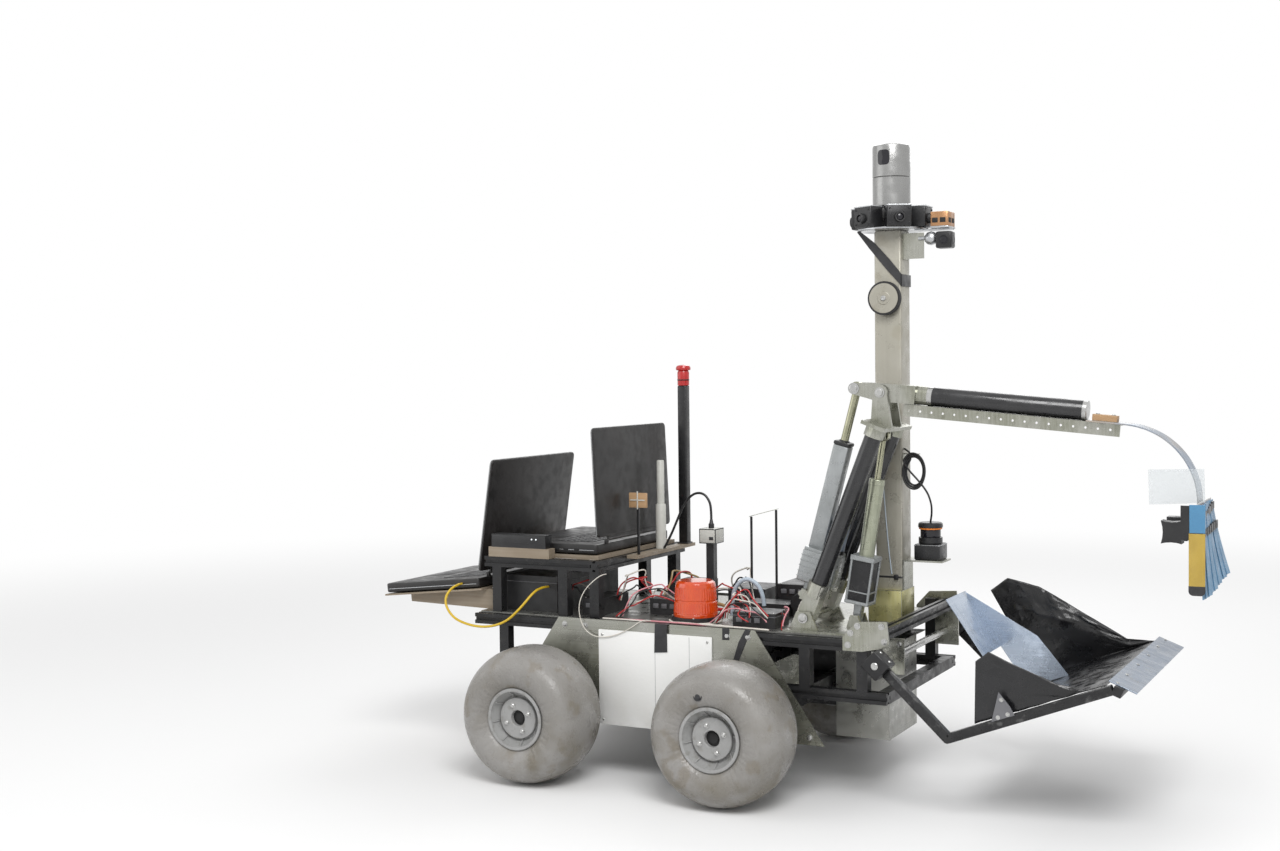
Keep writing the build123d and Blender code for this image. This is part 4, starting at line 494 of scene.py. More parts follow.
JACKET_YELLOW = finish("jacket_yellow", (0.66, 0.44, 0.02), 0.38, patches=(30.0, 0.35, (0.52, 0.33, 0.02)),
    grain=(500.0, 0.0002))
BEACON_ORANGE = finish("beacon_orange", (0.6, 0.055, 0.004), 0.16, patches=(40.0, 0.5, (0.7, 0.1, 0.008)),
    coat=0.7, roughness_spread=0.06, transmission=0.25, glow=(0.16, 0.012, 0.0))
STOP_RED = finish("stop_red", (0.46, 0.012, 0.012), 0.3, patches=(60.0, 0.4, (0.36, 0.01, 0.01)), coat=0.3)
ANTENNA_WHITE = finish("antenna_white", (0.56, 0.56, 0.52), 0.36, patches=(24.0, 0.4, (0.46, 0.46, 0.42)),
    grain=(400.0, 0.0002))
MOTOR_BLUE = finish("motor_blue", (0.25, 0.29, 0.36), 0.34, 0.5, patches=(26.0, 0.4, (0.18, 0.21, 0.27)),
    grain=(400.0, 0.0002))
PALE_OLIVE = finish("pale_olive", (0.35, 0.365, 0.28), 0.32, 0.7, patches=(20.0, 0.5, (0.25, 0.265, 0.19)),
    lines=((160.0, 160.0, 8.0), 0.25, (0.42, 0.44, 0.36), 0.0001))
WINDOW_DARK = finish("window_dark", (0.006, 0.006, 0.009), 0.1, patches=(50.0, 0.4, (0.015, 0.013, 0.02)),
    roughness_spread=0.05)
MUSTARD = finish("mustard", (0.42, 0.29, 0.05), 0.5, patches=(24.0, 0.5, (0.33, 0.22, 0.04)),
    lines=((60.0, 60.0, 12.0), 0.3, (0.5, 0.36, 0.09), 0.0001), grain=(300.0, 0.0002))
BRIGHT_BLUE = finish("bright_blue", (0.065, 0.21, 0.37), 0.35, patches=(20.0, 0.4, (0.085, 0.25, 0.42)),
    coat=0.2, grain=(260.0, 0.0002))
EDGE_WHITE = finish("edge_white", (0.72, 0.7, 0.68), 0.45, patches=(30.0, 0.4, (0.6, 0.58, 0.56)))
EDGE_RED = finish("edge_red", (0.45, 0.03, 0.03), 0.45, patches=(30.0, 0.4, (0.33, 0.02, 0.02)))
CLEAR_SHEET = finish("clear_sheet", (0.62, 0.66, 0.68), 0.12, patches=(12.0, 0.3, (0.52, 0.56, 0.58)),
    alpha=0.34, roughness_spread=0.08)
WOOD = finish("wood", (0.47, 0.3, 0.16), 0.6, patches=(14.0, 0.4, (0.38, 0.23, 0.12)),
    lines=((30.0, 300.0, 300.0), 0.5, (0.33, 0.19, 0.09), 0.0002))
STRAP_BLUE = finish("strap_blue", (0.25, 0.3, 0.37), 0.38, 0.6, patches=(11.0, 0.9, (0.45, 0.37, 0.28)),
    lines=((8.0, 300.0, 300.0), 0.25, (0.36, 0.4, 0.46), 0.0001), grain=(300.0, 0.0002))
TAPE_BLACK = finish("tape_black", (0.016, 0.016, 0.018), 0.42, patches=(40.0, 0.5, (0.035, 0.035, 0.038)),
    grain=(350.0, 0.0003))
WIRE_BLACK = finish("wire_black", (0.012, 0.012, 0.013), 0.4, patches=(60.0, 0.4, (0.03, 0.03, 0.03)))
WIRE_RED = finish("wire_red", (0.42, 0.02, 0.02), 0.38, patches=(60.0, 0.4, (0.3, 0.015, 0.02)))
WIRE_WHITE = finish("wire_white", (0.66, 0.63, 0.57), 0.42, patches=(60.0, 0.4, (0.52, 0.49, 0.43)))
WIRE_PINK = finish("wire_pink", (0.62, 0.27, 0.3), 0.42, patches=(60.0, 0.4, (0.5, 0.2, 0.22)))
WIRE_BROWN = finish("wire_brown", (0.3, 0.2, 0.08), 0.42, patches=(60.0, 0.4, (0.22, 0.14, 0.05)))
HOSE_BLUE = finish("hose_blue", (0.42, 0.49, 0.56), 0.4, patches=(40.0, 0.4, (0.34, 0.4, 0.46)))
COPPER_CASE = finish("copper_case", (0.44, 0.24, 0.12), 0.35, 0.75, patches=(30.0, 0.4, (0.34, 0.18, 0.09)),
    grain=(300.0, 0.0002))
SHROUD_YELLOW = finish("shroud_yellow", (0.46, 0.43, 0.19), 0.34, 0.7,
    patches=(16.0, 0.5, (0.32, 0.3, 0.14)), lines=((150.0, 150.0, 10.0), 0.3, (0.62, 0.6, 0.4), 0.0001))
SILVER_EDGE = finish("silver_edge", (0.48, 0.49, 0.5), 0.28, 0.9, patches=(30.0, 0.4, (0.36, 0.37, 0.38)))
KEY_BLACK = finish("key_black", (0.014, 0.014, 0.015), 0.5, patches=(40.0, 0.5, (0.028, 0.028, 0.03)),
    grain=(500.0, 0.0001))
LAMP_WHITE = finish("lamp_white", (0.9, 0.93, 0.95), 0.3, patches=(90.0, 0.2, (0.8, 0.85, 0.9)),
    glow=(0.85, 0.92, 1.0))
BAND_ORANGE = finish("band_orange", (0.7, 0.2, 0.02), 0.4, patches=(40.0, 0.4, (0.55, 0.14, 0.02)))


# Yellow cable at the rear shelf

CABLE_RADIUS = 0.003
CABLE_ROUTE = [  # station, offset, height
    (-0.53, -0.222, 0.424), (-0.531, -0.258, 0.424), (-0.54, -0.287, 0.392), (-0.514, -0.291, 0.352),
    (-0.466, -0.289, 0.335), (-0.412, -0.288, 0.333), (-0.36, -0.288, 0.349), (-0.32, -0.285, 0.385),
    (-0.301, -0.258, 0.42), (-0.3, -0.222, 0.427), (-0.3, -0.19, 0.425),
]


yellow_loop = nurbs_cord("yellow_loop", CABLE_ROUTE, CABLE_RADIUS, JACKET_YELLOW)
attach(yellow_loop, "chassis")
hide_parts("yellow_cable")


# Finishes of the CAD nodes that are shown as they are

WHEEL_NAMES = ("front_right", "front_left", "rear_right", "rear_left")
for material, names in (
        (BLACK_BAR, "long_rails cross_rails frame_posts shelf_rails"),
        (MILL_ALUMINIUM, "deck_plate sample_bin"),
        (BRUSHED_PLATE, "side_plates"), (MOTOR_BLACK, "drive_units"), (TAN_BOARD, "shelf_boards"),
        (BLACK_CASE, "battery_box electronics_boxes deck_fittings tool_header"),
        (WORN_ALUMINIUM, "front_plates mast_brackets arm_mount arm_knuckles"),
        (WORN_ALUMINIUM, "elbow_bracket boom_root boom_angle")):
    for node in names.split():
        for place in nodes[node].material_slots:
            place.material = material


# Wheels

TYRE_RADIUS, TYRE_HALF, BEAD_RADIUS, BEAD_HALF = 0.157, 0.0898, 0.066, 0.0705
TYRE_WRAP, TYRE_POWER, TYRE_COUNT = np.radians(128), 2.35, 220
WRINKLE_DEPTH, WRINKLE_RADIUS, WRINKLE_SPREAD = 0.0011, 0.088, 0.014
WHEEL_STATION, WHEEL_OFFSET = 0.2435, 0.365


def tyre_surface(rng):
    """Balloon tyre: a closed section carried round the axle.

    The section is most of a superellipse, |y / half width| ** p + |(r - middle) / half height| ** p = 1
    with p = TYRE_POWER, cut at the bead and closed by a flat seat. Near the bead the skin is pushed in and
    out by a sum of sine waves round the wheel, which gives its radial wrinkles."""
    angle = np.linspace(-1, 1, 45) * TYRE_WRAP
    middle = (TYRE_RADIUS + BEAD_RADIUS - 0.012) / 2
    tall = TYRE_RADIUS - middle
    power = 2 / TYRE_POWER
    up = np.sign(np.cos(angle)) * np.abs(np.cos(angle)) ** power * tall + middle
    out = np.sign(np.sin(angle)) * np.abs(np.sin(angle)) ** power * TYRE_HALF
    keep = up > BEAD_RADIUS + 0.001
    up, out = up[keep], out[keep]
    section = np.stack([np.concatenate([[BEAD_RADIUS], up, [BEAD_RADIUS]]),
        np.concatenate([[-BEAD_HALF], out, [BEAD_HALF]])], -1)
    t = np.linspace(0, 2 * np.pi, TYRE_COUNT, endpoint=False)
    waves = sum(rng.uniform(0.3, 1.0) * np.sin(k * t + rng.uniform(0, 6.28))
        for k in (9, 14, 23, 31, 44, 57))
    near_bead = np.exp(-((section[:, :1] - WRINKLE_RADIUS) / WRINKLE_SPREAD) ** 2)
    push = -WRINKLE_DEPTH * near_bead * (1 + 0.35 * waves)
    return section[:, :1], section[:, 1:] + np.sign(section[:, 1:]) * push, t


def wheel_points(station, side, radius, reach, turn):
    """Radius, reach along the outward axle and turn to points in the shared frame."""
    x = station - REACH_MIDDLE + radius * np.cos(turn)
    y = side * (WHEEL_OFFSET + reach)
    z = TYRE_RADIUS + radius * np.sin(turn)
    return np.stack(np.broadcast_arrays(x, y, z), -1)


def facing(faces, side):
    """Face order turned over on the left side, so that it still points outwards."""
    return faces if side < 0 else faces[:, ::-1]


# Dished rim as one turned profile from the bore's floor round the lips to the axle's inner end
RIM_PROFILE = np.array([
    (0.0, 0.05), (0.0175, 0.05), (0.018, 0.0515), (0.018, 0.0605), (0.0195, 0.062), (0.0455, 0.062),
    (0.047, 0.0605), (0.047, 0.0535), (0.048, 0.052), (0.0505, 0.0525), (0.061, 0.069), (0.0625, 0.0745),
    (0.0635, 0.0775), (0.065, 0.078), (0.0695, 0.078), (0.0708, 0.077), (0.071, 0.075), (0.07, 0.0738),
    (0.0658, 0.0735), (0.0658, -0.078), (0.0608, -0.078), (0.0608, 0.044), (0.0595, 0.0455), (0.014, 0.046),
    (0.01195, 0.044), (0.01195, -0.133), (0.0, -0.133)])


def make_wheel(name, station, side, seed):
    """Tyre, dished rim with eight short spokes, four bolts and a near-black disc of painted shade in the
    bore of one wheel.
    """
    body, outward = f"wheel_{name}", (0, side, 0)
    centre = at(station, side * WHEEL_OFFSET, TYRE_RADIUS)
    radius, reach, turn = tyre_surface(np.random.default_rng(seed))
    verts = wheel_points(station, side, radius, reach, turn)
    faces = facing(grid_faces(*verts.shape[:2], True, True), -side)
    dress(f"tyre_skin_{name}", body, RUBBER, [(verts.reshape(-1, 3), [faces])], [f"tyre_{name}"])
    t = np.linspace(0, 2 * np.pi, 96, endpoint=False)
    verts = wheel_points(station, side, RIM_PROFILE[:, :1], RIM_PROFILE[:, 1:], t)
    parts = [(verts.reshape(-1, 3), [facing(grid_faces(*verts.shape[:2], False, True), side)])]
    for a in 2 * np.pi * np.arange(8) / 8 + 0.2:
        spoke = np.array((np.cos(a), 0, np.sin(a)))
        low, high = (centre + spoke * radius + (0, side * reach, 0)
            for radius, reach in ((0.0485, 0.0535), (0.0625, 0.0752)))
        parts.append(rounded_bar(low, high, 0.0018, 0.003, 0.0006, across=np.cross(spoke, outward),
            corner=2))
    dress(f"rim_{name}", body, RIM_GREY, parts, [f"hub_{name}"])
    bolts = []
    for a in 0.4 + np.pi / 2 * np.arange(4):
        seat = centre + (np.cos(a) * 0.031, side * 0.0615, np.sin(a) * 0.031)
        bolts.append(turned_part([(0.0062, 0), (0.0062, 0.0014), (0.0046, 0.0016), (0.0046, 0.0048),
            (0.0038, 0.0056), (0.0006, 0.0058)], seat, outward, 18))
    dress(f"rim_bolts_{name}", body, BOLT_STEEL, bolts)
    # Near-black disc inside the bore: painted shade of the hole.
    bore = [(0.0178, 0.0502), (0.0178, 0.0508), (0.0115, 0.0512), (0.0112, 0.0535), (0.0005, 0.0536)]
    dress(f"rim_bore_{name}", body, PAINTED_HOLE_SHADE, [turned_part(bore, centre, outward, 32)])


for number, wheel in enumerate(WHEEL_NAMES):
    end, hand = wheel.split("_")
    make_wheel(wheel, WHEEL_STATION if end == "front" else -WHEEL_STATION, -1 if hand == "right" else 1,
        seed=11 + number)


# Arm, boom and actuators

ARM_PLANE = -0.115
SHOULDER, TUBE_TOP, ELBOW, LEVER_PIN = (0.365, 0.392), (0.522, 0.795), (0.528, 0.891), (0.464, 0.9)
ELBOW_ACTUATOR_PIN, SHOULDER_ACTUATOR_PIN = (0.341, 0.44), (0.461, 0.386)
SHOULDER_ACTUATOR_EYE = (0.524, 0.796)
TUBE_OFFSETS = (-0.0625, 0.0625)
BOOM_SLOPE = np.radians(-5.2)


def in_arm(spot, offset=0.0):
    """Point of the arm's centre plane, or beside it."""
    return at(spot[0], ARM_PLANE + offset, spot[1])


def local_axes(start, end):
    """Rows x, y and z of a frame whose z runs from start to end and whose y is the rover's Y."""
    w = (end - start) / np.linalg.norm(end - start)
    u = np.cross(Y_AXIS, w)
    return np.stack([u / np.linalg.norm(u), Y_AXIS, w])


def cross_bolt(spot, offset, side, radius=0.008, reach=0.006):
    """Bolt head with a washer on a face across Y; side is the way it faces."""
    return turned_part([(radius * 1.5, 0), (radius * 1.5, reach * 0.25), (radius, reach * 0.3),
        (radius, reach * 0.9), (radius * 0.8, reach), (radius * 0.25, reach * 0.95)],
        at(spot[0], offset, spot[1]), (0, side, 0), 24)


def arm_tube_pieces():
    """The lower arm's two tubes with their ferrules, and the bolt heads of the shoulder."""
    axes = local_axes(in_arm(SHOULDER), in_arm(TUBE_TOP))
    length = np.hypot(TUBE_TOP[0] - SHOULDER[0], TUBE_TOP[1] - SHOULDER[1])
    tubes, rings = [], []
    for y in TUBE_OFFSETS:
        origin = in_arm(SHOULDER, y)
        tube = [(0.0182, 0.082), (0.019, 0.083), (0.019, length - 0.001), (0.018, length)]
        ring = [(0.0205, 0.0505), (0.0236, 0.0525), (0.0236, 0.079), (0.0225, 0.0815), (0.0192, 0.0818)]
        tubes.append(carried(turned_part(tube), origin, axes))
        rings.append(carried(turned_part(ring), origin, axes))
    dress("arm_tube_skins", "lower_arm", CARBON, tubes, ["arm_tubes"])
    dress("arm_ferrules", "lower_arm", WORN_ALUMINIUM, rings)
    bolts = [cross_bolt(SHOULDER, ARM_PLANE + side * 0.0905, side, 0.0075) for side in (-1, 1)]
    dress("shoulder_bolts", "chassis", BOLT_STEEL, bolts)


def boom_axes():
    """Frame at the elbow pin: x down across the boom, y the rover's Y, z along it."""
    start = in_arm(ELBOW)
    return start, local_axes(start, start + np.array([np.cos(BOOM_SLOPE), 0, np.sin(BOOM_SLOPE)]))


def boom_pieces():
    """The boom's tube and the rings at its two ends."""
    tube = [(0.02, 0.108), (0.021, 0.109), (0.021, 0.4395), (0.0202, 0.441)]
    ring = [(0.0206, 0.4335), (0.0215, 0.434), (0.0215, 0.4425), (0.0206, 0.443), (0.015, 0.4432)]
    collar = [(0.0208, 0.1), (0.0216, 0.1006), (0.0216, 0.111), (0.0208, 0.1116)]
    tube, *rings = all_carried([turned_part(profile, count=56) for profile in (tube, ring, collar)],
        *boom_axes())
    dress("boom_skin", "boom", CARBON, [tube], ["boom_tube"])
    dress("boom_rings", "boom", BOLT_STEEL, rings)


def actuator_pieces(name, pin, eye, groups, rod):
    """Case pieces of an actuator and its rod, both built along the line from its pin to its rod eye."""
    start = in_arm(pin)
    axes = local_axes(start, in_arm(eye))
    for k, (label, material, parts) in enumerate(groups):
        dress(f"{name}_{label}", f"{name}_actuator", material, all_carried(parts, start, axes),
            [] if k else [f"{name}_actuator"])
    length = np.linalg.norm(in_arm(eye) - start)
    foot, radius, gap, half, ring = rod
    parts = [round_bar((0, 0, foot), (0, 0, length - gap), radius), eye_part(length, half, ring)]
    dress(f"{name}_rod", f"{name}_piston", GROUND_ROD, all_carried(parts, start, axes),
        [f"{name}_piston"])


def elbow_actuator_pieces():
    """Elbow actuator: ribbed gearbox, square barrel and its cap, motor and band, rod and its eye."""
    motor_at = (0.04, 0, 0)
    case = [rounded_box((-0.024, -0.031, 0.024), (0.06, 0.031, 0.098), 0.004, 3),
        rounded_box((-0.022, -0.029, 0.096), (0.058, 0.029, 0.1045), 0.002, 3),
        rounded_box((-0.009, -0.01, -0.009), (0.009, 0.01, 0.026), 0.002, 2)]
    for k in range(5):
        low = 0.034 + 0.0125 * k
        case.append(rounded_box((-0.0245, -0.0318, low), (0.0605, 0.0318, low + 0.002), 0.0004, 2))
    tube = [rounded_bar((0, 0, 0.103), (0, 0, 0.344), 0.036, 0.036, 0.003, X_AXIS, 3)]
    cap = [rounded_bar((0, 0, 0.3435), (0, 0, 0.353), 0.0375, 0.0375, 0.003, X_AXIS, 3),
        turned_part([(0.0125, 0.352), (0.0115, 0.3555), (0.0092, 0.356)], count=32)]
    motor = [turned_part([(0.0195, 0.112), (0.0208, 0.113), (0.0208, 0.172), (0.0195, 0.1755),
        (0.012, 0.1765), (0.0115, 0.1785), (0.0045, 0.179)], motor_at)]
    band = [turned_part([(0.0205, 0.104), (0.0214, 0.1045), (0.0214, 0.1125), (0.0205, 0.113)], motor_at)]
    groups = [("gearbox", ACTUATOR_GREY, case), ("barrel", ACTUATOR_GREY, tube), ("cap", BLACK_CASE, cap),
        ("motor", MOTOR_BLUE, motor), ("band", BLACK_CASE, band)]
    actuator_pieces("elbow", ELBOW_ACTUATOR_PIN, LEVER_PIN, groups, (0.19, 0.009, 0.013, 0.009, 0.015))


def eye_part(reach, half, radius):
    """Rod eye as a turned ring across Y, open round its pin."""
    return turned_part([(0.0101, -half), (radius - 0.001, -half), (radius, 0.001 - half),
        (radius, half - 0.001), (radius - 0.001, half), (0.0101, half), (0.0101, -half)], (0, 0, reach),
        Y_AXIS, 40)


def shoulder_actuator_pieces():
    """Shoulder actuator: black motor between plates on four rods, pale barrel, rod and its eye."""
    black = [rounded_box((-0.0235, -0.0235, 0.04), (0.0235, 0.0235, 0.136), 0.002, 2)]
    plates = [rounded_box((-0.028, -0.028, 0.034), (0.028, 0.028, 0.0415), 0.0012, 2),
        rounded_box((-0.028, -0.028, 0.132), (0.028, 0.028, 0.1425), 0.0012, 2),
        rounded_box((-0.026, -0.026, 0.06), (0.026, 0.026, 0.063), 0.0005, 2),
        rounded_box((-0.009, -0.012, -0.009), (0.009, 0.012, 0.036), 0.002, 2)]
    for x in (-0.0245, 0.0245):
        for y in (-0.0245, 0.0245):
            plates.append(round_bar((x, y, 0.036), (x, y, 0.138), 0.003, count=16))
    barrel = [turned_part([(0.0165, 0.142), (0.0172, 0.1425), (0.0172, 0.303), (0.018, 0.3035),
        (0.018, 0.3145), (0.017, 0.316), (0.0072, 0.3162)])]
    groups = [("motor", MOTOR_BLACK, black), ("plates", ACTUATOR_GREY, plates),
        ("barrel", PALE_OLIVE, barrel)]
    actuator_pieces("shoulder", SHOULDER_ACTUATOR_PIN, SHOULDER_ACTUATOR_EYE, groups,
        (0.2, 0.007, 0.012, 0.008, 0.014))


arm_tube_pieces()
boom_pieces()
elbow_actuator_pieces()
shoulder_actuator_pieces()


# Mast head

MAST_X, MAST_Y, MAST_HALF, MAST_FOOT, MAST_TOP = 0.5 - REACH_MIDDLE, 0.02, 0.03175, 0.363, 1.256
HEAD_DECK = MAST_TOP + 0.005
LIDAR_FOOT, LIDAR_SEAM, LIDAR_RADIUS = HEAD_DECK + 0.05, HEAD_DECK + 0.116, 0.0427


def lidar_pieces():
    """Spinning range finder: its fixed base, its turning drum and the drum's dark window."""
    centre, up = (MAST_X, MAST_Y, 0.0), Z_AXIS
    base = turned_part([(0.031, HEAD_DECK), (0.034, HEAD_DECK + 0.002), (0.034, LIDAR_FOOT - 0.004),
        (0.0405, LIDAR_FOOT - 0.001), (LIDAR_RADIUS, LIDAR_FOOT + 0.002),
        (LIDAR_RADIUS, LIDAR_SEAM - 0.0012), (LIDAR_RADIUS - 0.001, LIDAR_SEAM - 0.0002),
        (0.03, LIDAR_SEAM - 0.0001)], centre, up, 72)
    dress("lidar_body", "chassis", LIDAR_SILVER, [base], ["lidar_base"])
    low, high = LIDAR_SEAM + 0.0003, LIDAR_SEAM + 0.0783
    head = turned_part([(0.03, low), (LIDAR_RADIUS - 0.001, low + 0.0001), (LIDAR_RADIUS, low + 0.0012),
        (LIDAR_RADIUS, high - 0.0115), (LIDAR_RADIUS - 0.0014, high - 0.0065),
        (LIDAR_RADIUS - 0.006, high - 0.0036), (0.028, high - 0.0012), (0.015, high - 0.0003),
        (0.001, high)], centre, up, 72)
    dress("lidar_cap", "lidar_head", LIDAR_SILVER, [head], ["lidar_head"])
    # Window: a rounded patch just outside the drum, |a| ** 4 + |h| ** 4 = 1 in turn and height
    view = np.radians(-97)
    ring = np.linspace(0, 2 * np.pi, 40, endpoint=False)
    grow = np.array([0.02, 0.5, 0.85, 1.0, 1.06])[:, None]
    outside = np.array([0.0005, 0.0005, 0.0005, 0.0006, -0.0005])[:, None]
    a = view + grow * 0.335 * np.sign(np.cos(ring)) * np.abs(np.cos(ring)) ** 0.5
    h = (low + high) / 2 + 0.004 + grow * 0.0165 * np.sign(np.sin(ring)) * np.abs(np.sin(ring)) ** 0.5
    r = LIDAR_RADIUS + outside + 0 * a
    verts = np.stack([MAST_X + r * np.cos(a), MAST_Y + r * np.sin(a), h], -1).reshape(-1, 3)
    faces = [grid_faces(*r.shape, False, True)[:, ::-1], [np.arange(len(ring)).tolist()]]
    dress("lidar_window", "lidar_head", WINDOW_DARK, [(verts, faces)])


lidar_pieces()


# Scoop film

SHAFT, CORNER, TIP = (0.568, 0.318), (0.718, 0.175), (1.053, 0.305)
SCOOP_RISE = (TIP[1] - CORNER[1]) / (TIP[0] - CORNER[0])
SCOOP_BAR, SCOOP_BAR_EDGE = 0.02, 0.0022


def scoop_floor(station):
    """Height of the upper face of the scoop's lower tubes at a station."""
    return CORNER[1] + (station - CORNER[0]) * SCOOP_RISE + SCOOP_BAR / 2 * np.hypot(1, SCOOP_RISE)


def crumple(u, v, seed):
    """Creases: a sum of sharp ridges 0.64 - |sin|, each along its own direction, averaging nought."""
    rng = np.random.default_rng(seed)
    total = np.zeros_like(u)
    for _ in range(26):
        heading = rng.uniform(0, np.pi)
        pitch = rng.uniform(2.0, 9.0)
        wave = (u * np.cos(heading) + v * np.sin(heading)) * pitch + rng.uniform(0, 6)
        warp = 0.6 * np.sin(2.3 * (u * np.sin(heading) - v * np.cos(heading)) + rng.uniform(0, 6))
        total += rng.uniform(0.3, 1.0) / pitch * (0.64 - np.abs(np.sin(wave + warp)))
    return total


FAR_WALL = 0.72  # the far wall's share of the way across the film


def film_liner():
    """Plastic film draped in the scoop.

    Near edge, near foot, far foot and far edge curves run along the scoop by u and are joined across it
    by v; creases push the walls sideways and lift the floor."""
    rows, columns = 110, 150
    u = np.linspace(0, 1, rows)[:, None] * np.ones((1, columns))
    v = np.ones((rows, 1)) * np.linspace(0, 1, columns)[None, :]

    def edge(points):
        """Stations and heights of an edge curve at every row."""
        along = np.linspace(0, 1, len(points))
        return [np.interp(u[:, 0], along, values) for values in zip(*points)]

    foot_x = np.interp(u[:, 0], [0, 1], [0.773, 1.04])
    foot_z = scoop_floor(foot_x) + 0.0018
    near_x, near_z = edge([(0.776, 0.34), (0.803, 0.362), (0.868, 0.336), (0.94, 0.306), (0.99, 0.296),
        (1.04, foot_z[-1])])
    far_x, far_z = edge([(0.655, 0.408), (0.697, 0.439), (0.77, 0.424), (0.86, 0.376), (0.975, 0.312),
        (1.04, foot_z[-1])])
    knots = [0.0, 0.2, FAR_WALL, 1.0]
    curve_x = np.stack([near_x, foot_x, foot_x, far_x], -1)
    curve_z = np.stack([near_z, foot_z, foot_z, far_z], -1)
    curve_y = np.broadcast_to(np.array([-0.283, -0.281, 0.276, 0.279]), curve_x.shape)
    place = np.array([np.interp(v[0], knots, row) for grid in (curve_x, curve_y, curve_z) for row in grid])
    x, y, z = place.reshape(3, rows, columns)
    ridge = crumple(u * 2.6, v * 5.2, 5)
    wall = np.clip(np.abs(v - 0.46) / 0.3 - 0.75, 0, 1)
    open_edge = np.sin(np.pi * u) ** 0.4
    far = v > FAR_WALL
    sag = 0.012 * np.sin(np.pi * np.clip((v - FAR_WALL) / (1 - FAR_WALL), 0, 1)) * np.sin(np.pi * u)
    side = np.where(far, -1.0, 1.0)
    y = y + side * (0.006 * ridge + 0.008 * np.abs(ridge)) * wall * open_edge - np.where(far, sag, 0)
    z = z + np.maximum(0.004 * ridge, -0.001) * (1 - wall) + 0.004 * ridge * wall * open_edge
    z = np.maximum(z, scoop_floor(x) + 0.0011)
    verts = np.stack([x - REACH_MIDDLE, y, z], -1).reshape(-1, 3)
    piece = add_piece("film_liner", "scoop", FILM_BLACK, verts, [grid_faces(rows, columns, False, False)],
        uv=np.stack([u, v], -1).reshape(-1, 2))
    wall_thickness = piece.modifiers.new("film", "SOLIDIFY")
    wall_thickness.thickness = 0.0008
    wall_thickness.offset = 0
    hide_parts("scoop_film")
    return piece


film = film_liner()


# Brush tool: strips and their black bands

TOOL_NEAR, TOOL_FAR, STRIP_WIDTH = -0.2, -0.02, 0.026


def strip_lean(share, t):
    """How far a strip leans forward at t of its length; strips lean more towards the far side."""
    return (0.008 + 0.0235 * share) * t ** 1.4


def tool_pieces():
    """Brush of thin strips, each bent forward below the header by a power law, and two bands of tape."""
    box = np.array([corner[:] for corner in nodes["tool_strips"].bound_box])
    low, high = box.min(0), box.max(0)
    face, top = low[0] + 0.015, high[2]
    strips = []
    count, rows = 14, 14
    span = TOOL_FAR - TOOL_NEAR - STRIP_WIDTH
    for k in range(count):
        share = k / (count - 1)
        right = TOOL_NEAR + share * span
        bottom = low[2] + 0.002 + 0.034 * share
        t = np.linspace(0, 1, rows)[:, None]
        lean = strip_lean(share, t) + 0.002 * np.sin(6 * share)
        width = STRIP_WIDTH * (1 - 0.08 * t)
        y = right + np.array([0.0, 1.0]) * width + 0.004 * share * t
        x = face + 0.004 + 0.0016 * (k % 3) + lean + 0.0 * y
        z = top + (bottom - top) * t + 0.0 * y
        x = x + 0.003 * np.array([0, 1.0]) * t
        front = np.stack([x, y, z], -1).reshape(-1, 3)
        back = front - (0.0012, 0, 0)
        faces = grid_faces(rows, 2, False, False)
        total = rows * 2
        ring = np.concatenate([np.arange(0, total, 2), np.arange(total - 1, 0, -2)])
        wall = np.stack([ring, np.roll(ring, -1), np.roll(ring, -1) + total, ring + total], -1)
        strips.append((np.concatenate([front, back]), [faces, faces[:, ::-1] + total, wall[:, ::-1]]))
    dress("brush_strips", "boom", TOOL_BLUE, strips, ["tool_strips"])
    pitch = span / (count - 1)
    patches = []
    for k in range(0, count, 2):
        share = (k + 1) / (count - 1)
        length = top - low[2] - 0.002 - 0.034 * share
        right = TOOL_NEAR + k * pitch + 0.001
        bands = [(0.067 - 0.0008 * k, 0.0165)] + [(0.036 - 0.0015 * k, 0.015)] * (k > 1)
        for drop, depth in bands:
            t = drop / length
            outer = face + 0.0078 + strip_lean(share, t) + 0.003 * t
            patches.append(rounded_box((outer - 0.0045, right, top - drop),
                (outer, right + 2 * pitch, top - drop + depth), 0.0003, 2))
    dress("black_patches", "boom", TAPE_BLACK, patches)


tool_pieces()


# Tool's paddle and edges, strap and elbow

def sheet_box(stations, heights, low, high, edge=0.0006):
    """Upright rectangle between two stations and two heights as a thin plate between two offsets."""
    (x0, x1), (z0, z1) = stations, heights
    return sheet_part([(x0, z0), (x1, z0), (x1, z1), (x0, z1)], low, high, edge)


def paddle_outline(low, high, left, right, radius=0.01):
    """Upright paddle with a rounded foot, as stations and heights."""
    foot = [(middle + radius * np.cos(a), low + radius + radius * np.sin(a))
        for middle, start in ((left + radius, np.pi), (right - radius, 1.5 * np.pi))
        for a in np.linspace(start, start + np.pi / 2, 7)]
    return [*foot, (right, high), (left, high)]


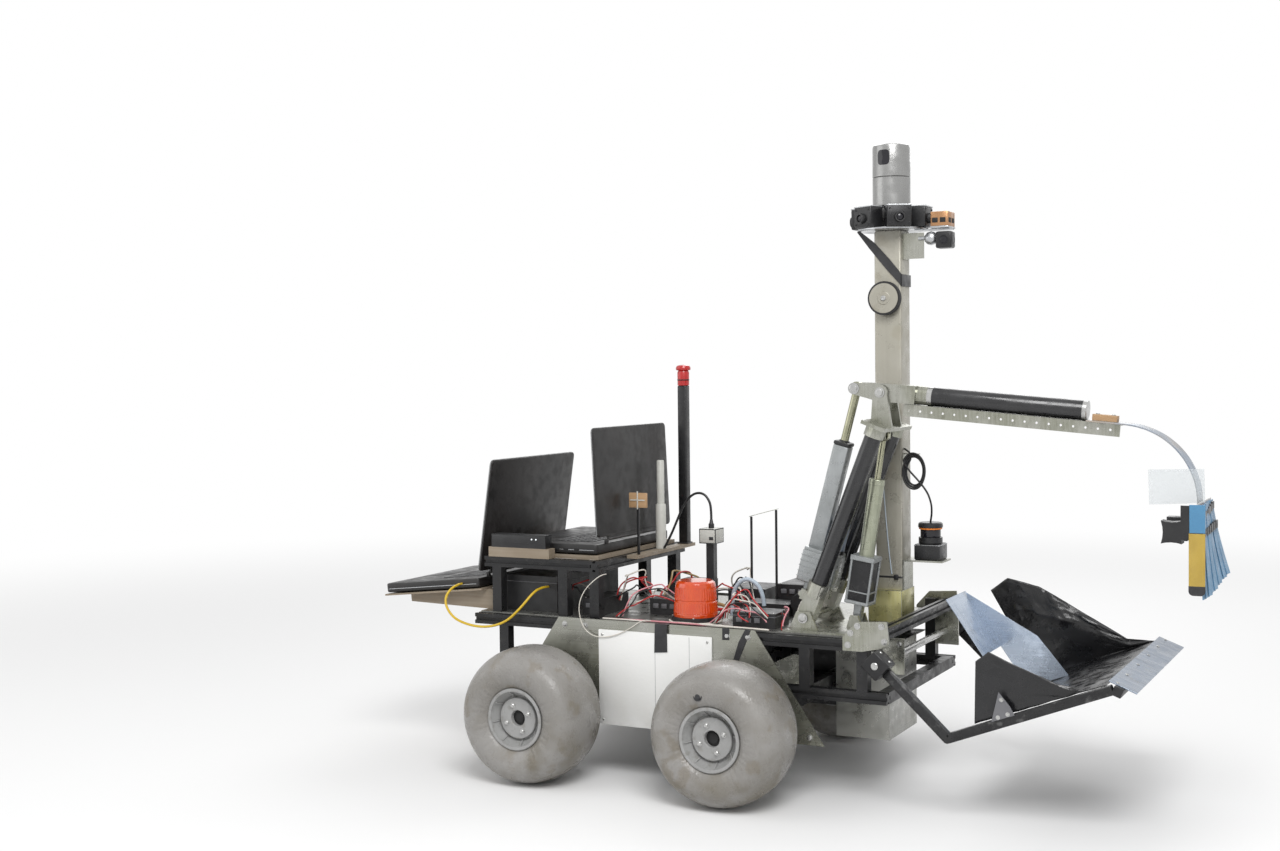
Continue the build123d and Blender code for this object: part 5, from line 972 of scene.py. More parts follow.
def tool_trim():
    """Mustard paddle with its black tip, blue square, two coloured edges, magnet and clear plate."""
    for name, material, part in (
            ("paddle", MUSTARD, sheet_part(paddle_outline(0.498, 0.611, 1.183, 1.214), -0.204, -0.2)),
            ("paddle_tip", TAPE_BLACK,
                sheet_part(paddle_outline(0.488, 0.507, 1.1826, 1.2144, 0.009), -0.2045, -0.1995)),
            ("blue_square", BRIGHT_BLUE, sheet_box((1.184, 1.214), (0.612, 0.668), -0.2035, -0.2005)),
            ("edge_white_line", EDGE_WHITE,
                sheet_box((1.198, 1.1995), (0.664, 0.67), -0.199, -0.022, 0.0003)),
            ("edge_red_line", EDGE_RED, sheet_box((1.1988, 1.2), (0.6595, 0.664), -0.199, -0.022, 0.0003)),
            ("magnet_skin", BLACK_CASE,
                sheet_box((1.1288, 1.1692), (0.588, 0.6362), -0.132, -0.098, 0.002)),
            ("clear_plate", CLEAR_SHEET, sheet_part([(1.098, 0.662), (1.206, 0.668), (1.204, 0.736),
                (1.096, 0.733)], -0.1492, -0.1462, 0.0005))):
        dress(name, "boom", material, [part])


STRAP_THICK, STRAP_HALF, STRAP_RADIUS, STRAP_DROP = 0.003, 0.03, 0.158, 0.016
STRAP_START, STRAP_BEND, STRAP_UNDER = 0.446, 0.525, -0.0213  # two along the boom, one below its line


def strap_trim():
    """Wooden spacer with its screws under the boom's end, and the strap that bends down from there."""
    spacer = rounded_box((0.005, -0.0123, 0.4547), (0.0184, 0.0123, 0.5053), 0.0008, 2)
    dress("wood_spacer", "boom", WOOD, [carried(spacer, *boom_axes())])
    heads = [head_screw((0.005, 0.0, reach), (-1, 0, 0), 0.0042, 0.0024) for reach in (0.464, 0.496)]
    dress("spacer_screws", "boom", BOLT_STEEL, all_carried(heads, *boom_axes()))
    along = np.array([np.cos(BOOM_SLOPE), np.sin(BOOM_SLOPE)])
    up = np.array([-along[1], along[0]])
    first = np.array(ELBOW) + along * STRAP_START + up * STRAP_UNDER
    inner_radius = STRAP_RADIUS - STRAP_THICK
    centre = np.array(ELBOW) + along * STRAP_BEND + up * (STRAP_UNDER - inner_radius)
    turn = np.linspace(np.pi / 2 + BOOM_SLOPE, 0, 33)
    ray = np.stack([np.cos(turn), np.sin(turn)], -1)
    outer, inner = centre + STRAP_RADIUS * ray, centre + inner_radius * ray
    foot = np.array([outer[-1], inner[-1]]) - (0, STRAP_DROP)
    band = np.concatenate([[first, first + up * STRAP_THICK], outer, foot, inner[::-1]])
    dress("strap_skin", "boom", STRAP_BLUE,
        [sheet_part(band, ARM_PLANE - STRAP_HALF, ARM_PLANE + STRAP_HALF, 0.0004)], ["boom_strap"])


def elbow_trim():
    """Bolt heads at both sides of the elbow, of the arm tubes' top and of the lever."""
    for name, body, slot, pins in (
            ("elbow_bolts", "lower_arm", "bracket", ((ELBOW, 0.0365, 0.0075), (TUBE_TOP, 0.0365, 0.0065))),
            ("lever_bolts", "boom", "boom", ((LEVER_PIN, 0.0255, 0.0085),))):
        dress(name, body, BOLT_STEEL, [cross_bolt(spot, ARM_PLANE + side * reach, side, radius)
            for spot, reach, radius in pins for side in (-1, 1)])


tool_trim()
strap_trim()
elbow_trim()


# Mast, pulley and head

PULLEY_STATION, PULLEY_HEIGHT, PULLEY_FRONT = 0.497, 1.102, -0.03


def mast_pieces():
    """Square mast with its yellow shroud, tape band, pulley and slanting ribbon."""
    def square(low, high, wider, radius):
        """Rounded square bar round the mast's line."""
        width = 2 * MAST_HALF + wider
        return rounded_bar((MAST_X, MAST_Y, low), (MAST_X, MAST_Y, high), width, width, radius, X_AXIS, 5)

    dress("mast_skin", "chassis", MAST_CREAM, [square(MAST_FOOT, MAST_TOP, 0, 0.004)],
        ["mast_tube"])
    near, hub = MAST_Y - MAST_HALF, at(PULLEY_STATION, PULLEY_FRONT, PULLEY_HEIGHT)
    shroud = [box_at((0.4536, 0.5344), (-0.0262, 0.0662), (0.364, 0.4392), 0.0025)]
    dress("shroud_skin", "chassis", SHROUD_YELLOW, shroud)
    band = [square(0.463, 0.472, 0.002, 0.0045), box_at((0.512, 0.522), (near - 0.0045, near),
        (0.4615, 0.4735), 0.001)]
    dress("mast_band", "chassis", TAPE_BLACK, band)
    disc = turned_part([(0.008, 0.0002), (0.033, 0.0004), (0.0338, 0.0012), (0.0336, 0.0022),
        (0.03, 0.0026), (0.015, 0.0018), (0.0135, 0.003), (0.004, 0.0032)], hub, (0, -1, 0), 64)
    dress("pulley_disc", "chassis", MAST_CREAM, [disc])
    wheel = turned_part([(0.008, 0.0), (0.0378, 0.0), (0.0385, 0.001), (0.0382, 0.003), (0.0345, 0.0045),
        (0.034, 0.007), (0.038, 0.0088), (0.0385, 0.0105), (0.038, 0.0112), (0.008, 0.0112),
        (0.008, 0.0178)], hub + (0, 0.0001, 0), Y_AXIS, 72)
    dress("pulley_wheel", "chassis", BLACK_CASE, [wheel], ["pulley"])
    screw = turned_part([(0.0062, 0.002), (0.0062, 0.0052), (0.0052, 0.0062), (0.003, 0.0064),
        (0.0026, 0.004), (0.0003, 0.0038)], hub, (0, -1, 0), 24)
    dress("pulley_screw", "chassis", BOLT_STEEL, [screw])
    front = MAST_X + MAST_HALF + REACH_MIDDLE
    ribbon = sheet_part([(0.4285, 1.2545), (0.434, 1.258), (0.47, 1.229), (0.506, 1.19),
        (front + 0.002, 1.156), (front + 0.002, 1.129), (0.497, 1.169), (0.458, 1.216)], near - 0.0022,
        near - 0.0002, 0.0004)
    wrap = box_at((front + 0.0001, front + 0.002), (near - 0.0022, near + 2 * MAST_HALF + 0.002),
        (1.129, 1.156), 0.0004)
    dress("mast_ribbon", "chassis", TAPE_BLACK, [ribbon, wrap])


def head_pieces():
    """Sensor plate with its six camera cases, their lenses, the copper box and the small ball camera."""
    centre = (MAST_X, MAST_Y, 0.0)
    plate = turned_part([(0.0, MAST_TOP), (0.077, MAST_TOP), (0.078, MAST_TOP + 0.001),
        (0.078, MAST_TOP + 0.004), (0.077, HEAD_DECK), (0.0, HEAD_DECK)], centre, count=96)
    dress("platform_skin", "chassis", SILVER_EDGE, [plate], ["sensor_platform"])
    cases, lenses, rings, edges = [], [], [], []
    origin = np.array([MAST_X, MAST_Y, HEAD_DECK])
    for turn in np.radians((180, 240, 300, 0, 60, 120)):
        axes = np.array([(np.cos(turn), np.sin(turn), 0), (-np.sin(turn), np.cos(turn), 0), Z_AXIS])
        cases.append(carried(rounded_box((0.0502, -0.0278, 0.0002), (0.0878, 0.0278, 0.0478), 0.003, 4),
            origin, axes))
        edges.append(carried(rounded_box((0.051, -0.0282, 0.0455), (0.0884, 0.0282, 0.0486), 0.001, 2),
            origin, axes))
        rings.append(carried(turned_part([(0.012, 0.086), (0.012, 0.0955), (0.0112, 0.097), (0.0085, 0.097),
            (0.008, 0.0925)], (0, 0, 0.02), X_AXIS, 40), origin, axes))
        lenses.append(carried(turned_part([(0.0082, 0.092), (0.007, 0.0945), (0.004, 0.096),
            (0.0003, 0.0964)], (0, 0, 0.02), X_AXIS, 32), origin, axes))
        for y in (-0.022, 0.022):
            for z in (0.007, 0.04):
                rings.append(carried(head_screw((0.0876, y, z), X_AXIS, 0.0022, 0.0014), origin, axes))
    dress("camera_cases", "chassis", SENSOR_BLACK, cases, ["head_cameras"])
    dress("camera_edges", "chassis", SILVER_EDGE, edges)
    dress("camera_rings", "chassis", BLACK_CASE, rings)
    dress("camera_lenses", "chassis", WINDOW_DARK, lenses)
    box = [box_at((0.6, 0.64), (-0.0098, 0.0458), (1.2602, 1.293), 0.002)]
    dress("copper_box", "chassis", COPPER_CASE, box)
    dress("box_shelf", "chassis", SILVER_EDGE,
        [box_at((0.56, 0.64), (0.0, 0.04), (1.2532, 1.256), 0.0006),
        box_at((0.599, 0.6405), (-0.0102, 0.0462), (1.256, 1.2604), 0.0008)])
    # Near-black patches on the copper box: painted shade of its slots.
    slots = [box_at((0.6398, 0.6406), (y, y + 0.017), (1.268, 1.279), 0.0003) for y in (-0.003, 0.022)]
    slots += [box_at((x, x + 0.013), (-0.0104, -0.0096), (1.268, 1.279), 0.0003) for x in (0.604, 0.622)]
    dress("box_slots", "chassis", PAINTED_HOLE_SHADE, slots)
    ball = [turned_part([(0.0, -0.001), (0.0045, 0.0), (0.0045, 0.034), (0.003, 0.0345)],
            at(0.57, 0.0, 1.235), X_AXIS, 28),
        turned_part([(0.002, -0.015), (0.008, -0.0135), (0.0135, -0.008), (0.0155, 0.0), (0.0135, 0.008),
            (0.008, 0.0135), (0.002, 0.015)], at(0.599, 0.0, 1.234), X_AXIS, 40)]
    dress("ball_joint", "chassis", SILVER_EDGE, ball)
    case = [box_at((0.613, 0.6498), (-0.0158, 0.0158), (1.2102, 1.2478), 0.004, 5)]
    dress("ball_case", "chassis", SENSOR_BLACK, case)
    eye = turned_part([(0.0115, 0.0), (0.0115, 0.0012), (0.0095, 0.0016), (0.0085, 0.0004), (0.005, 0.0012),
        (0.0004, 0.0015)], at(0.649, 0.0, 1.229), X_AXIS, 36)
    side_eye = turned_part([(0.0105, 0.0), (0.0105, 0.0012), (0.0085, 0.0016), (0.0075, 0.0004),
        (0.0045, 0.0012), (0.0004, 0.0015)], at(0.632, -0.0156, 1.229), (0, -1, 0), 36)
    dress("ball_eye", "chassis", WINDOW_DARK, [eye, side_eye])


def scanner_pieces():
    """Low range finder: square foot, window drum, orange band and cap, on its shelf beside the mast."""
    foot = 0.508
    seat = at(0.586, 0.026, foot + 0.037)
    box = [box_at((0.556, 0.616), (-0.004, 0.056), (foot, foot + 0.0365), 0.003),
        turned_part([(0.0262, 0.0), (0.027, 0.001), (0.027, 0.0135), (0.024, 0.0145)], seat, count=56)]
    dress("scanner_case", "chassis", SENSOR_BLACK, box, ["front_scanner"])
    drum = [turned_part([(0.0225, 0.014), (0.023, 0.015), (0.023, 0.031), (0.0225, 0.0315)], seat,
        count=56)]
    dress("scanner_window", "chassis", WINDOW_DARK, drum)
    band = [turned_part([(0.0225, 0.0312), (0.0262, 0.0322), (0.0264, 0.0355), (0.025, 0.0362)], seat,
        count=56)]
    dress("scanner_band", "chassis", BAND_ORANGE, band)
    cap = [turned_part([(0.025, 0.0358), (0.0279, 0.0364), (0.028, 0.04), (0.0272, 0.045), (0.024, 0.0474),
        (0.012, 0.048), (0.0004, 0.0481)], seat, count=56)]
    dress("scanner_cap", "chassis", SENSOR_BLACK, cap)
    edge = [box_at((0.5556, 0.6164), (-0.0044, 0.0564), (foot + 0.0335, foot + 0.0347), 0.0005)]
    dress("scanner_edge", "chassis", SILVER_EDGE, edge)
    arm = [box_at((0.531, 0.57), (-0.006, 0.004), (0.748, 0.75), 0.0006),
        box_at((0.531, 0.5335), (-0.008, 0.014), (0.73, 0.75), 0.0006)]
    dress("lead_arm", "chassis", WORN_ALUMINIUM, arm)
    turns = 3.4
    t = np.linspace(0.5 * np.pi, 0.5 * np.pi + turns * 2 * np.pi, int(turns * 14))
    lap = (t - t[0]) / (2 * np.pi)
    wide = 0.019 + 0.0031 * lap
    tall = 0.03 + 0.0042 * lap
    coil = np.stack([0.561 + wide * np.cos(t), -0.01 - 0.0036 * lap + 0.0012 * np.sin(3 * t),
        0.71 + tall * np.sin(t)], -1)
    tail = [(0.59, -0.02, 0.672), (0.6, -0.012, 0.64), (0.596, 0.004, 0.615), (0.59, 0.016, 0.6),
        (0.587, 0.022, 0.592)]
    start = [(0.533, 0.004, 0.76), (0.541, -0.004, 0.757), (0.55, -0.009, 0.7515)]
    lead("scanner_lead", "chassis", WIRE_BLACK, [*start, *map(tuple, coil[1:-3]), *tail], 0.0022)
    lead("mast_wire", "chassis", HOSE_BLUE, [(0.485, -0.0132, 0.711), (0.4865, -0.0133, 0.69),
        (0.4905, -0.0133, 0.64), (0.496, -0.0133, 0.57), (0.503, -0.0133, 0.5), (0.507, -0.0133, 0.4745)],
        0.0012)


mast_pieces()
head_pieces()
scanner_pieces()


# Laptops

def panel(low, high, corner, edge):
    """Flat slab in its own frame, rounded in plan by one radius and eased at both faces by another."""
    (x0, y0, z0), (x1, y1, z1) = low, high
    plan = outline(x1 - x0, y1 - y0, corner, 6) + ((x0 + x1) / 2, (y0 + y1) / 2)
    edge = min(edge, (z1 - z0) / LEAST_FLAT)
    small, middle, step = inset(plan, edge), inset(plan, edge * 0.3), edge * 0.3
    rows = [(small, z0), (middle, z0 + step), (plan, z0 + edge), (plan, z1 - edge), (middle, z1 - step),
        (small, z1)]
    verts = np.concatenate([np.insert(q, 2, z, axis=1) for q, z in rows])
    return verts, capped(len(rows), len(plan))


def laptop_pieces(name, hinge, sides, depth, base_heading, lid_height, lid_heading, ports=()):
    """Base, keys, lid and screen; each slab lies along its heading, its local z a quarter turn on."""
    right, left = sides
    pin = at(hinge[0], 0.0, hinge[1])
    base, lid = (np.array([(np.cos(a), 0, np.sin(a)), Y_AXIS, (-np.sin(a), 0, np.cos(a))])
        for a in np.radians((base_heading, lid_heading)))
    bottom, thick = pin + base[2] * 0.032 + base[0] * 0.002, 0.023

    def add(label, body, material, parts, origin, axes):
        """One of the laptop's plain pieces."""
        dress(f"laptop_{label}_{name}", body, material, all_carried(parts, origin, axes))

    case = [panel((0, right, -thick), (depth, left, 0), 0.01, 0.0035)]
    case += [panel((reach, y, -0.001), (reach + 0.016, y + 0.016, 0.003), 0.006, 0.001)
        for reach in (0.02, depth - 0.046) for y in (right + 0.02, left - 0.036)]
    ears = [rounded_box((-0.004, low, -0.002), (0.004, low + 0.0097, 0.011), 0.0015, 3)
        for low in (right + 0.04, left - 0.0497)]
    dress(f"laptop_case_{name}", "chassis", LAPTOP_BLACK,
        all_carried(case, bottom, base) + all_carried(ears, pin, base), [f"laptop_base_{name}"])
    add("trim", "chassis", SILVER_EDGE, [panel((0.001, right - 0.0002, -0.0095),
        (depth - 0.001, left + 0.0002, -0.008), 0.01, 0.0003)], bottom, base)
    keys, half = [], (right + left) / 2
    for row in range(6):
        columns, wide = (15, 0.0155) if row < 5 else (9, 0.027)
        x = 0.04 + 0.0185 * row
        for k in range(columns):
            y = half + (k - (columns - 1) / 2) * (wide + 0.0035)
            keys.append(rounded_box((x, y - wide / 2, -thick - 0.0014),
                (x + 0.015, y + wide / 2, -thick + 0.001), 0.0008, 2))
    keys.append(panel((depth - 0.092, half - 0.05, -thick - 0.0006),
        (depth - 0.03, half + 0.05, -thick + 0.001), 0.004, 0.0003))
    add("keys", "chassis", KEY_BLACK, keys, bottom, base)
    barrel = [(0.0025, right + 0.0502), (0.004, right + 0.051), (0.004, left - 0.051),
        (0.0025, left - 0.0502)]
    cover = [panel((0.007, right, -0.004), (lid_height, left, 0.004), 0.012, 0.0022),
        rounded_box((0.0, right + 0.051, -0.003), (0.008, left - 0.051, 0.003), 0.001, 2)]
    dress(f"laptop_cover_{name}", f"lid_{name}", LAPTOP_BLACK, [*all_carried(cover, pin, lid),
        turned_part(barrel, pin, Y_AXIS, 28)], [f"laptop_lid_{name}"])
    add("rim", f"lid_{name}", SILVER_EDGE, [panel((0.0068, right - 0.0003, 0.0006),
        (lid_height + 0.0003, left + 0.0003, 0.0018), 0.012, 0.0003)], pin, lid)
    add("screen", f"lid_{name}", SCREEN_GLASS, [panel((0.03, right + 0.014, 0.0036),
        (lid_height - 0.014, left - 0.014, 0.0044), 0.002, 0.0002)], pin, lid)
    # Near-black patches on the base's side: painted shade of its ports.
    if ports:
        dress("laptop_ports", "chassis", PAINTED_HOLE_SHADE, [
            box_at((hinge[0] - x - 0.014, hinge[0] - x), (right - 0.0006, right + 0.001),
                   (hinge[1] - 0.0245, hinge[1] - 0.0195), 0.0004) for x in ports])


laptop_pieces("upper", (-0.157, 0.542), (-0.2, 0.18), 0.258, 180, 0.268, 92.75,
    ports=(0.05, 0.08, 0.105, 0.19))
laptop_pieces("lower", (-0.48, 0.45), (-0.222, 0.178), 0.2823, 185.9, 0.284, 81.5)


# Deck: beacon, posts, boxes and wiring

DECK_TOP, SHELF_TOP = 0.363, 0.4975


def fluted_part(profile, centre, flutes, depth, bands, count):
    """Turned surface whose radius is r (1 - depth (1 - |cos(n t / 2)|)) inside the given height bands."""
    points = turned_points(profile, centre, Z_AXIS, count)
    middle = np.array([centre[0], centre[1], 0.0])
    t = np.linspace(0, 2 * np.pi, count, endpoint=False)
    heights = np.asarray(profile)[:, 1]
    in_band = sum(((heights > low) & (heights < high)).astype(float) for low, high in bands)
    share = 1 - depth * in_band[:, None] * (1 - np.abs(np.cos(flutes * t / 2)))[None, :]
    flat = points * (1, 1, 0)
    verts = middle + (flat - middle) * share[..., None] + points * Z_AXIS
    return verts.reshape(-1, 3), capped(len(points), count)


def beacon_pieces():
    """Orange beacon: fluted lens, black base and four screws."""
    centre = at(0.09, -0.18, DECK_TOP)
    z = np.concatenate([np.linspace(0.0142, 0.084, 60), np.linspace(0.0865, 0.0968, 10)])
    r = np.interp(z, [0.014, 0.022, 0.084, 0.092, 0.097], [0.0508, 0.0518, 0.0468, 0.045, 0.0385])
    r = r - 0.0014 * (np.abs(z - 0.0515) < 0.0022) - 0.0006 * (np.abs(z - 0.0235) < 0.0012)
    profile = np.vstack([np.column_stack([r, z]), [(0.03, 0.097), (0.0004, 0.0972)]])
    lens = fluted_part(profile, centre, 44, 0.016, [(0.026, 0.049), (0.054, 0.082)], 264)
    dress("beacon_flutes", "chassis", BEACON_ORANGE, [lens], ["beacon_lens"])
    base = turned_part([(0.0545, 0.0001), (0.0563, 0.0012), (0.0563, 0.0075), (0.0545, 0.009),
        (0.054, 0.0145), (0.052, 0.0152), (0.0505, 0.015)], centre, count=72)
    screws = [head_screw(centre + (0.0535 * np.cos(a), 0.0535 * np.sin(a), 0.0148), Z_AXIS, 0.0022, 0.0015)
        for a in np.radians([20, 110, 200, 290])]
    dress("beacon_base", "chassis", BLACK_CASE, [base])
    dress("beacon_screws", "chassis", BOLT_STEEL, screws)


def post_pieces():
    """Stop post and its red button, flag board on its stalk, two deck rods with a strip, white tube."""
    post = [box_at((-0.134, -0.11), (0.188, 0.212), (SHELF_TOP, 0.905), 0.003, 4),
        box_at((-0.137, -0.107), (0.185, 0.215), (SHELF_TOP, SHELF_TOP + 0.004), 0.001),
        box_at((-0.119, -0.113), (-0.071, -0.065), (SHELF_TOP, 0.612), 0.001)]
    for station, top in ((0.131, 0.588), (0.196, 0.606)):
        foot, rise = at(station, 0.05, DECK_TOP), top - DECK_TOP
        post.append(turned_part([(0.003, 0.0), (0.003, rise - 0.001), (0.0022, rise)], foot, count=20))
        post.append(turned_part([(0.006, 0.0), (0.006, 0.006), (0.0045, 0.0065)], foot, count=6))
    dress("deck_rods", "chassis", BLACK_BAR, post, ["deck_posts"])
    strip = rounded_bar(at(0.127, 0.05, 0.5885), at(0.2, 0.05, 0.6085), 0.012, 0.0012, 0.0004,
        across=Y_AXIS)
    dress("rod_strip", "chassis", PALE_OLIVE, [strip])
    white = turned_part([(0.012, 0.0), (0.013, 0.001), (0.013, 0.11), (0.0118, 0.1122), (0.0095, 0.1124),
        (0.0095, 0.2195), (0.008, 0.222), (0.0004, 0.2222)], at(-0.125, 0.07, SHELF_TOP), count=48)
    dress("white_tube", "chassis", ANTENNA_WHITE, [white])
    board = box_at((-0.14, -0.092), (-0.0712, -0.0648), (0.612, 0.648), 0.001)
    dress("flag_board", "chassis", WOOD, [board])
    cross = [box_at((-0.1175, -0.1145), (-0.0735, -0.0712), (0.608, 0.652), 0.0006),
        box_at((-0.136, -0.096), (-0.0735, -0.0712), (0.629, 0.632), 0.0006)]
    dress("white_cross", "chassis", ANTENNA_WHITE, cross)
    top = at(-0.122, 0.2, 0.905)
    button = [turned_part([(0.015, 0.0), (0.0152, 0.001), (0.0152, 0.012), (0.0138, 0.0128),
        (0.0138, 0.0145), (0.0152, 0.0155), (0.0152, 0.033), (0.013, 0.0385), (0.0178, 0.039),
        (0.019, 0.041), (0.019, 0.0455), (0.0165, 0.05), (0.011, 0.0522), (0.0004, 0.053)], top, count=56)]
    dress("stop_mushroom", "chassis", STOP_RED, button, ["stop_button"])
    collar = [turned_part([(0.014, 0.0125), (0.0156, 0.013), (0.0156, 0.015), (0.014, 0.0155)], top,
        count=40)]
    dress("stop_collar", "chassis", TAPE_BLACK, collar)


def box_pieces():
    """Cases on the deck: link box on its stalk, network box with two lamps, winch, sockets and screws."""
    pale = [box_at((0.0018, 0.0462), (0.0258, 0.0742), (0.5198, 0.5562), 0.003, 4)]
    dress("link_box", "chassis", ANTENNA_WHITE, pale)
    plug = [turned_part([(0.0062, 0.0), (0.007, 0.001), (0.007, 0.01), (0.005, 0.0125), (0.0032, 0.022),
        (0.0026, 0.023)], at(0.024, 0.05, 0.556), count=32),
        box_at((0.029, 0.04), (0.025, 0.0259), (0.529, 0.537), 0.0003)]
    dress("link_plug", "chassis", TAPE_BLACK, plug)
    net = [box_at((-0.4322, -0.2798), (-0.2352, -0.2058), (0.521, 0.5532), 0.003, 4),
        box_at((-0.424, -0.288), (-0.2356, -0.235), (0.533, 0.535), 0.0002)]
    dress("network_case", "chassis", BLACK_CASE, net)
    lamps = [turned_part([(0.0018, 0.0), (0.0018, 0.0004), (0.0009, 0.0008), (0.0001, 0.0009)],
        at(x, -0.2352, 0.543), (0, -1, 0), 16) for x in (-0.318, -0.306)]
    dress("network_lamps", "chassis", LAMP_WHITE, lamps)
    sockets, heads = [], []
    for rear, front, right, top in ((0.196, 0.3, -0.208, 0.397), (-0.06, 0.046, -0.12, 0.401),
            (0.15, 0.262, -0.04, 0.393), (-0.205, -0.15, -0.19, 0.403), (0.19, 0.3, 0.07, 0.425),
            (0.052, 0.15, 0.084, 0.407)):
        for k in range(int((front - rear - 0.016) / 0.022)):
            x = rear + 0.01 + 0.022 * k
            sockets.append(box_at((x, x + 0.014), (right - 0.004, right + 0.0005),
                (top - 0.022, top - 0.011), 0.0008))
        for x in (rear + 0.006, front - 0.006):
            heads.append(head_screw(at(x, right + 0.006, top), Z_AXIS, 0.0024, 0.0016))
    dress("box_sockets", "chassis", GREY_CASE, sockets)
    dress("box_screws", "chassis", BOLT_STEEL, heads)
    lids = [box_at((0.196 - 0.0006, 0.3006), (-0.2086, -0.1274), (0.3885, 0.39), 0.0005),
        box_at((-0.4206, -0.2754), (-0.1906, 0.1206), (0.433, 0.4345), 0.0005)]
    dress("box_seams", "chassis", GREY_CASE, lids)
    ribs = [turned_part([(0.0215, 0.0), (0.0228, 0.001), (0.0228, 0.003), (0.019, 0.004), (0.019, 0.058),
        (0.0228, 0.059), (0.0228, 0.061), (0.0215, 0.062)], at(0.29, -0.039, DECK_TOP + 0.035), Y_AXIS, 56)]
    dress("winch_spool", "chassis", BLACK_CASE, ribs)


def wander(start, end, rise, spread, rng):
    """Control points of a slack lead: a straight line arched up by a half sine, each moved a little."""
    t = np.linspace(0, 1, 7)[:, None]
    line = np.asarray(start) * (1 - t) + np.asarray(end) * t
    line[:, 2:] += rise * np.sin(np.pi * t)
    line += rng.normal(0, 1, line.shape) * (spread, spread, spread * 0.5) * np.sin(np.pi * t) ** 0.6
    line[:, 2] = np.maximum(line[:, 2], DECK_TOP + 0.0035)
    return [tuple(map(float, row)) for row in line]


def wiring():
    """Looms of wires between the deck's boxes, then the single hoses and leads."""
    rng = np.random.default_rng(4)
    colours = {"r": WIRE_RED, "k": WIRE_BLACK, "w": WIRE_WHITE, "p": WIRE_PINK, "b": WIRE_BROWN}
    looms = [  # colours, start, end, rise, spread, radius
        ("wwp", (-0.12, -0.2445, 0.3672), (0.3, -0.2445, 0.3672), 0.002, 0.0022, 0.0021),
        ("rkrw", (0.15, -0.15, 0.37), (0.24, -0.214, 0.386), 0.05, 0.012, 0.0017),
        ("pkwr", (0.148, -0.205, 0.368), (0.285, -0.215, 0.388), 0.046, 0.011, 0.0016),
        ("rwkp", (-0.095, -0.205, 0.368), (0.03, -0.13, 0.4), 0.045, 0.014, 0.0017),
        ("krrw", (-0.15, -0.11, 0.39), (-0.06, -0.09, 0.39), 0.06, 0.016, 0.0018),
        ("kwr", (0.046, -0.06, 0.385), (0.15, -0.02, 0.385), 0.055, 0.014, 0.0018),
        ("rkp", (0.3, -0.15, 0.385), (0.325, -0.226, 0.372), 0.03, 0.006, 0.0015),
        ("kkw", (0.15, 0.02, 0.38), (0.06, 0.1, 0.4), 0.07, 0.016, 0.002),
        ("rb", (-0.06, -0.06, 0.39), (-0.018, 0.08, 0.405), 0.06, 0.014, 0.0024),
        ("kwr", (-0.276, -0.12, 0.41), (-0.205, -0.13, 0.39), 0.03, 0.01, 0.0018),
        ("kr", (0.262, 0.01, 0.385), (0.3, 0.1, 0.4), 0.045, 0.01, 0.002),
    ]
    for number, (names, start, end, rise, spread, radius) in enumerate(looms):
        for k, key in enumerate(names):
            aside = np.array([0.004, 0.003, 0.0]) * (k - len(names) / 2) * (number > 0)
            points = wander(start + aside, end + aside[::-1], rise * (0.7 + 0.2 * k), spread, rng)
            lead(f"loom_{number}_{k}", "chassis", colours[key], points, radius, declared=k == 0)
    lead("hose_arch", "chassis", HOSE_BLUE, [(0.15, -0.11, 0.372), (0.15, -0.11, 0.4), (0.158, -0.11, 0.44),
        (0.185, -0.108, 0.462), (0.215, -0.106, 0.448), (0.228, -0.105, 0.418), (0.229, -0.105, 0.398)],
        0.005)
    lead("red_hose", "chassis", WIRE_RED, [(0.06, -0.118, 0.369), (0.085, -0.112, 0.378),
        (0.12, -0.108, 0.385), (0.15, -0.106, 0.378), (0.178, -0.11, 0.369)], 0.0042)
    lead("brown_hose", "chassis", WIRE_BROWN, [(0.05, -0.104, 0.369), (0.075, -0.098, 0.386),
        (0.105, -0.094, 0.396), (0.135, -0.092, 0.386), (0.149, -0.09, 0.369)], 0.0042)
    ring = [(0.09 + 0.061 * np.cos(a), -0.18 + 0.061 * np.sin(a), 0.3665)
        for a in np.radians(np.arange(-160, 141, 25))]
    lead("beacon_cable", "chassis", WIRE_WHITE, [tuple(map(float, row)) for row in ring], 0.0026)
    lead("link_lead", "chassis", WIRE_BLACK, [(0.024, 0.05, 0.579), (0.024, 0.05, 0.598),
        (0.02, 0.051, 0.622), (0.002, 0.053, 0.642), (-0.028, 0.056, 0.64), (-0.055, 0.058, 0.612),
        (-0.075, 0.06, 0.57), (-0.095, 0.061, 0.528), (-0.112, 0.062, 0.501)], 0.003)
    lead("actuator_lead", "chassis", WIRE_WHITE, [(0.3, -0.02, 0.4), (0.308, -0.06, 0.412),
        (0.312, -0.095, 0.4), (0.312, -0.11, 0.38), (0.314, -0.12, 0.3675)], 0.0018)


beacon_pieces()
post_pieces()
box_pieces()
wiring()


# Side plates, sign, straps and valve

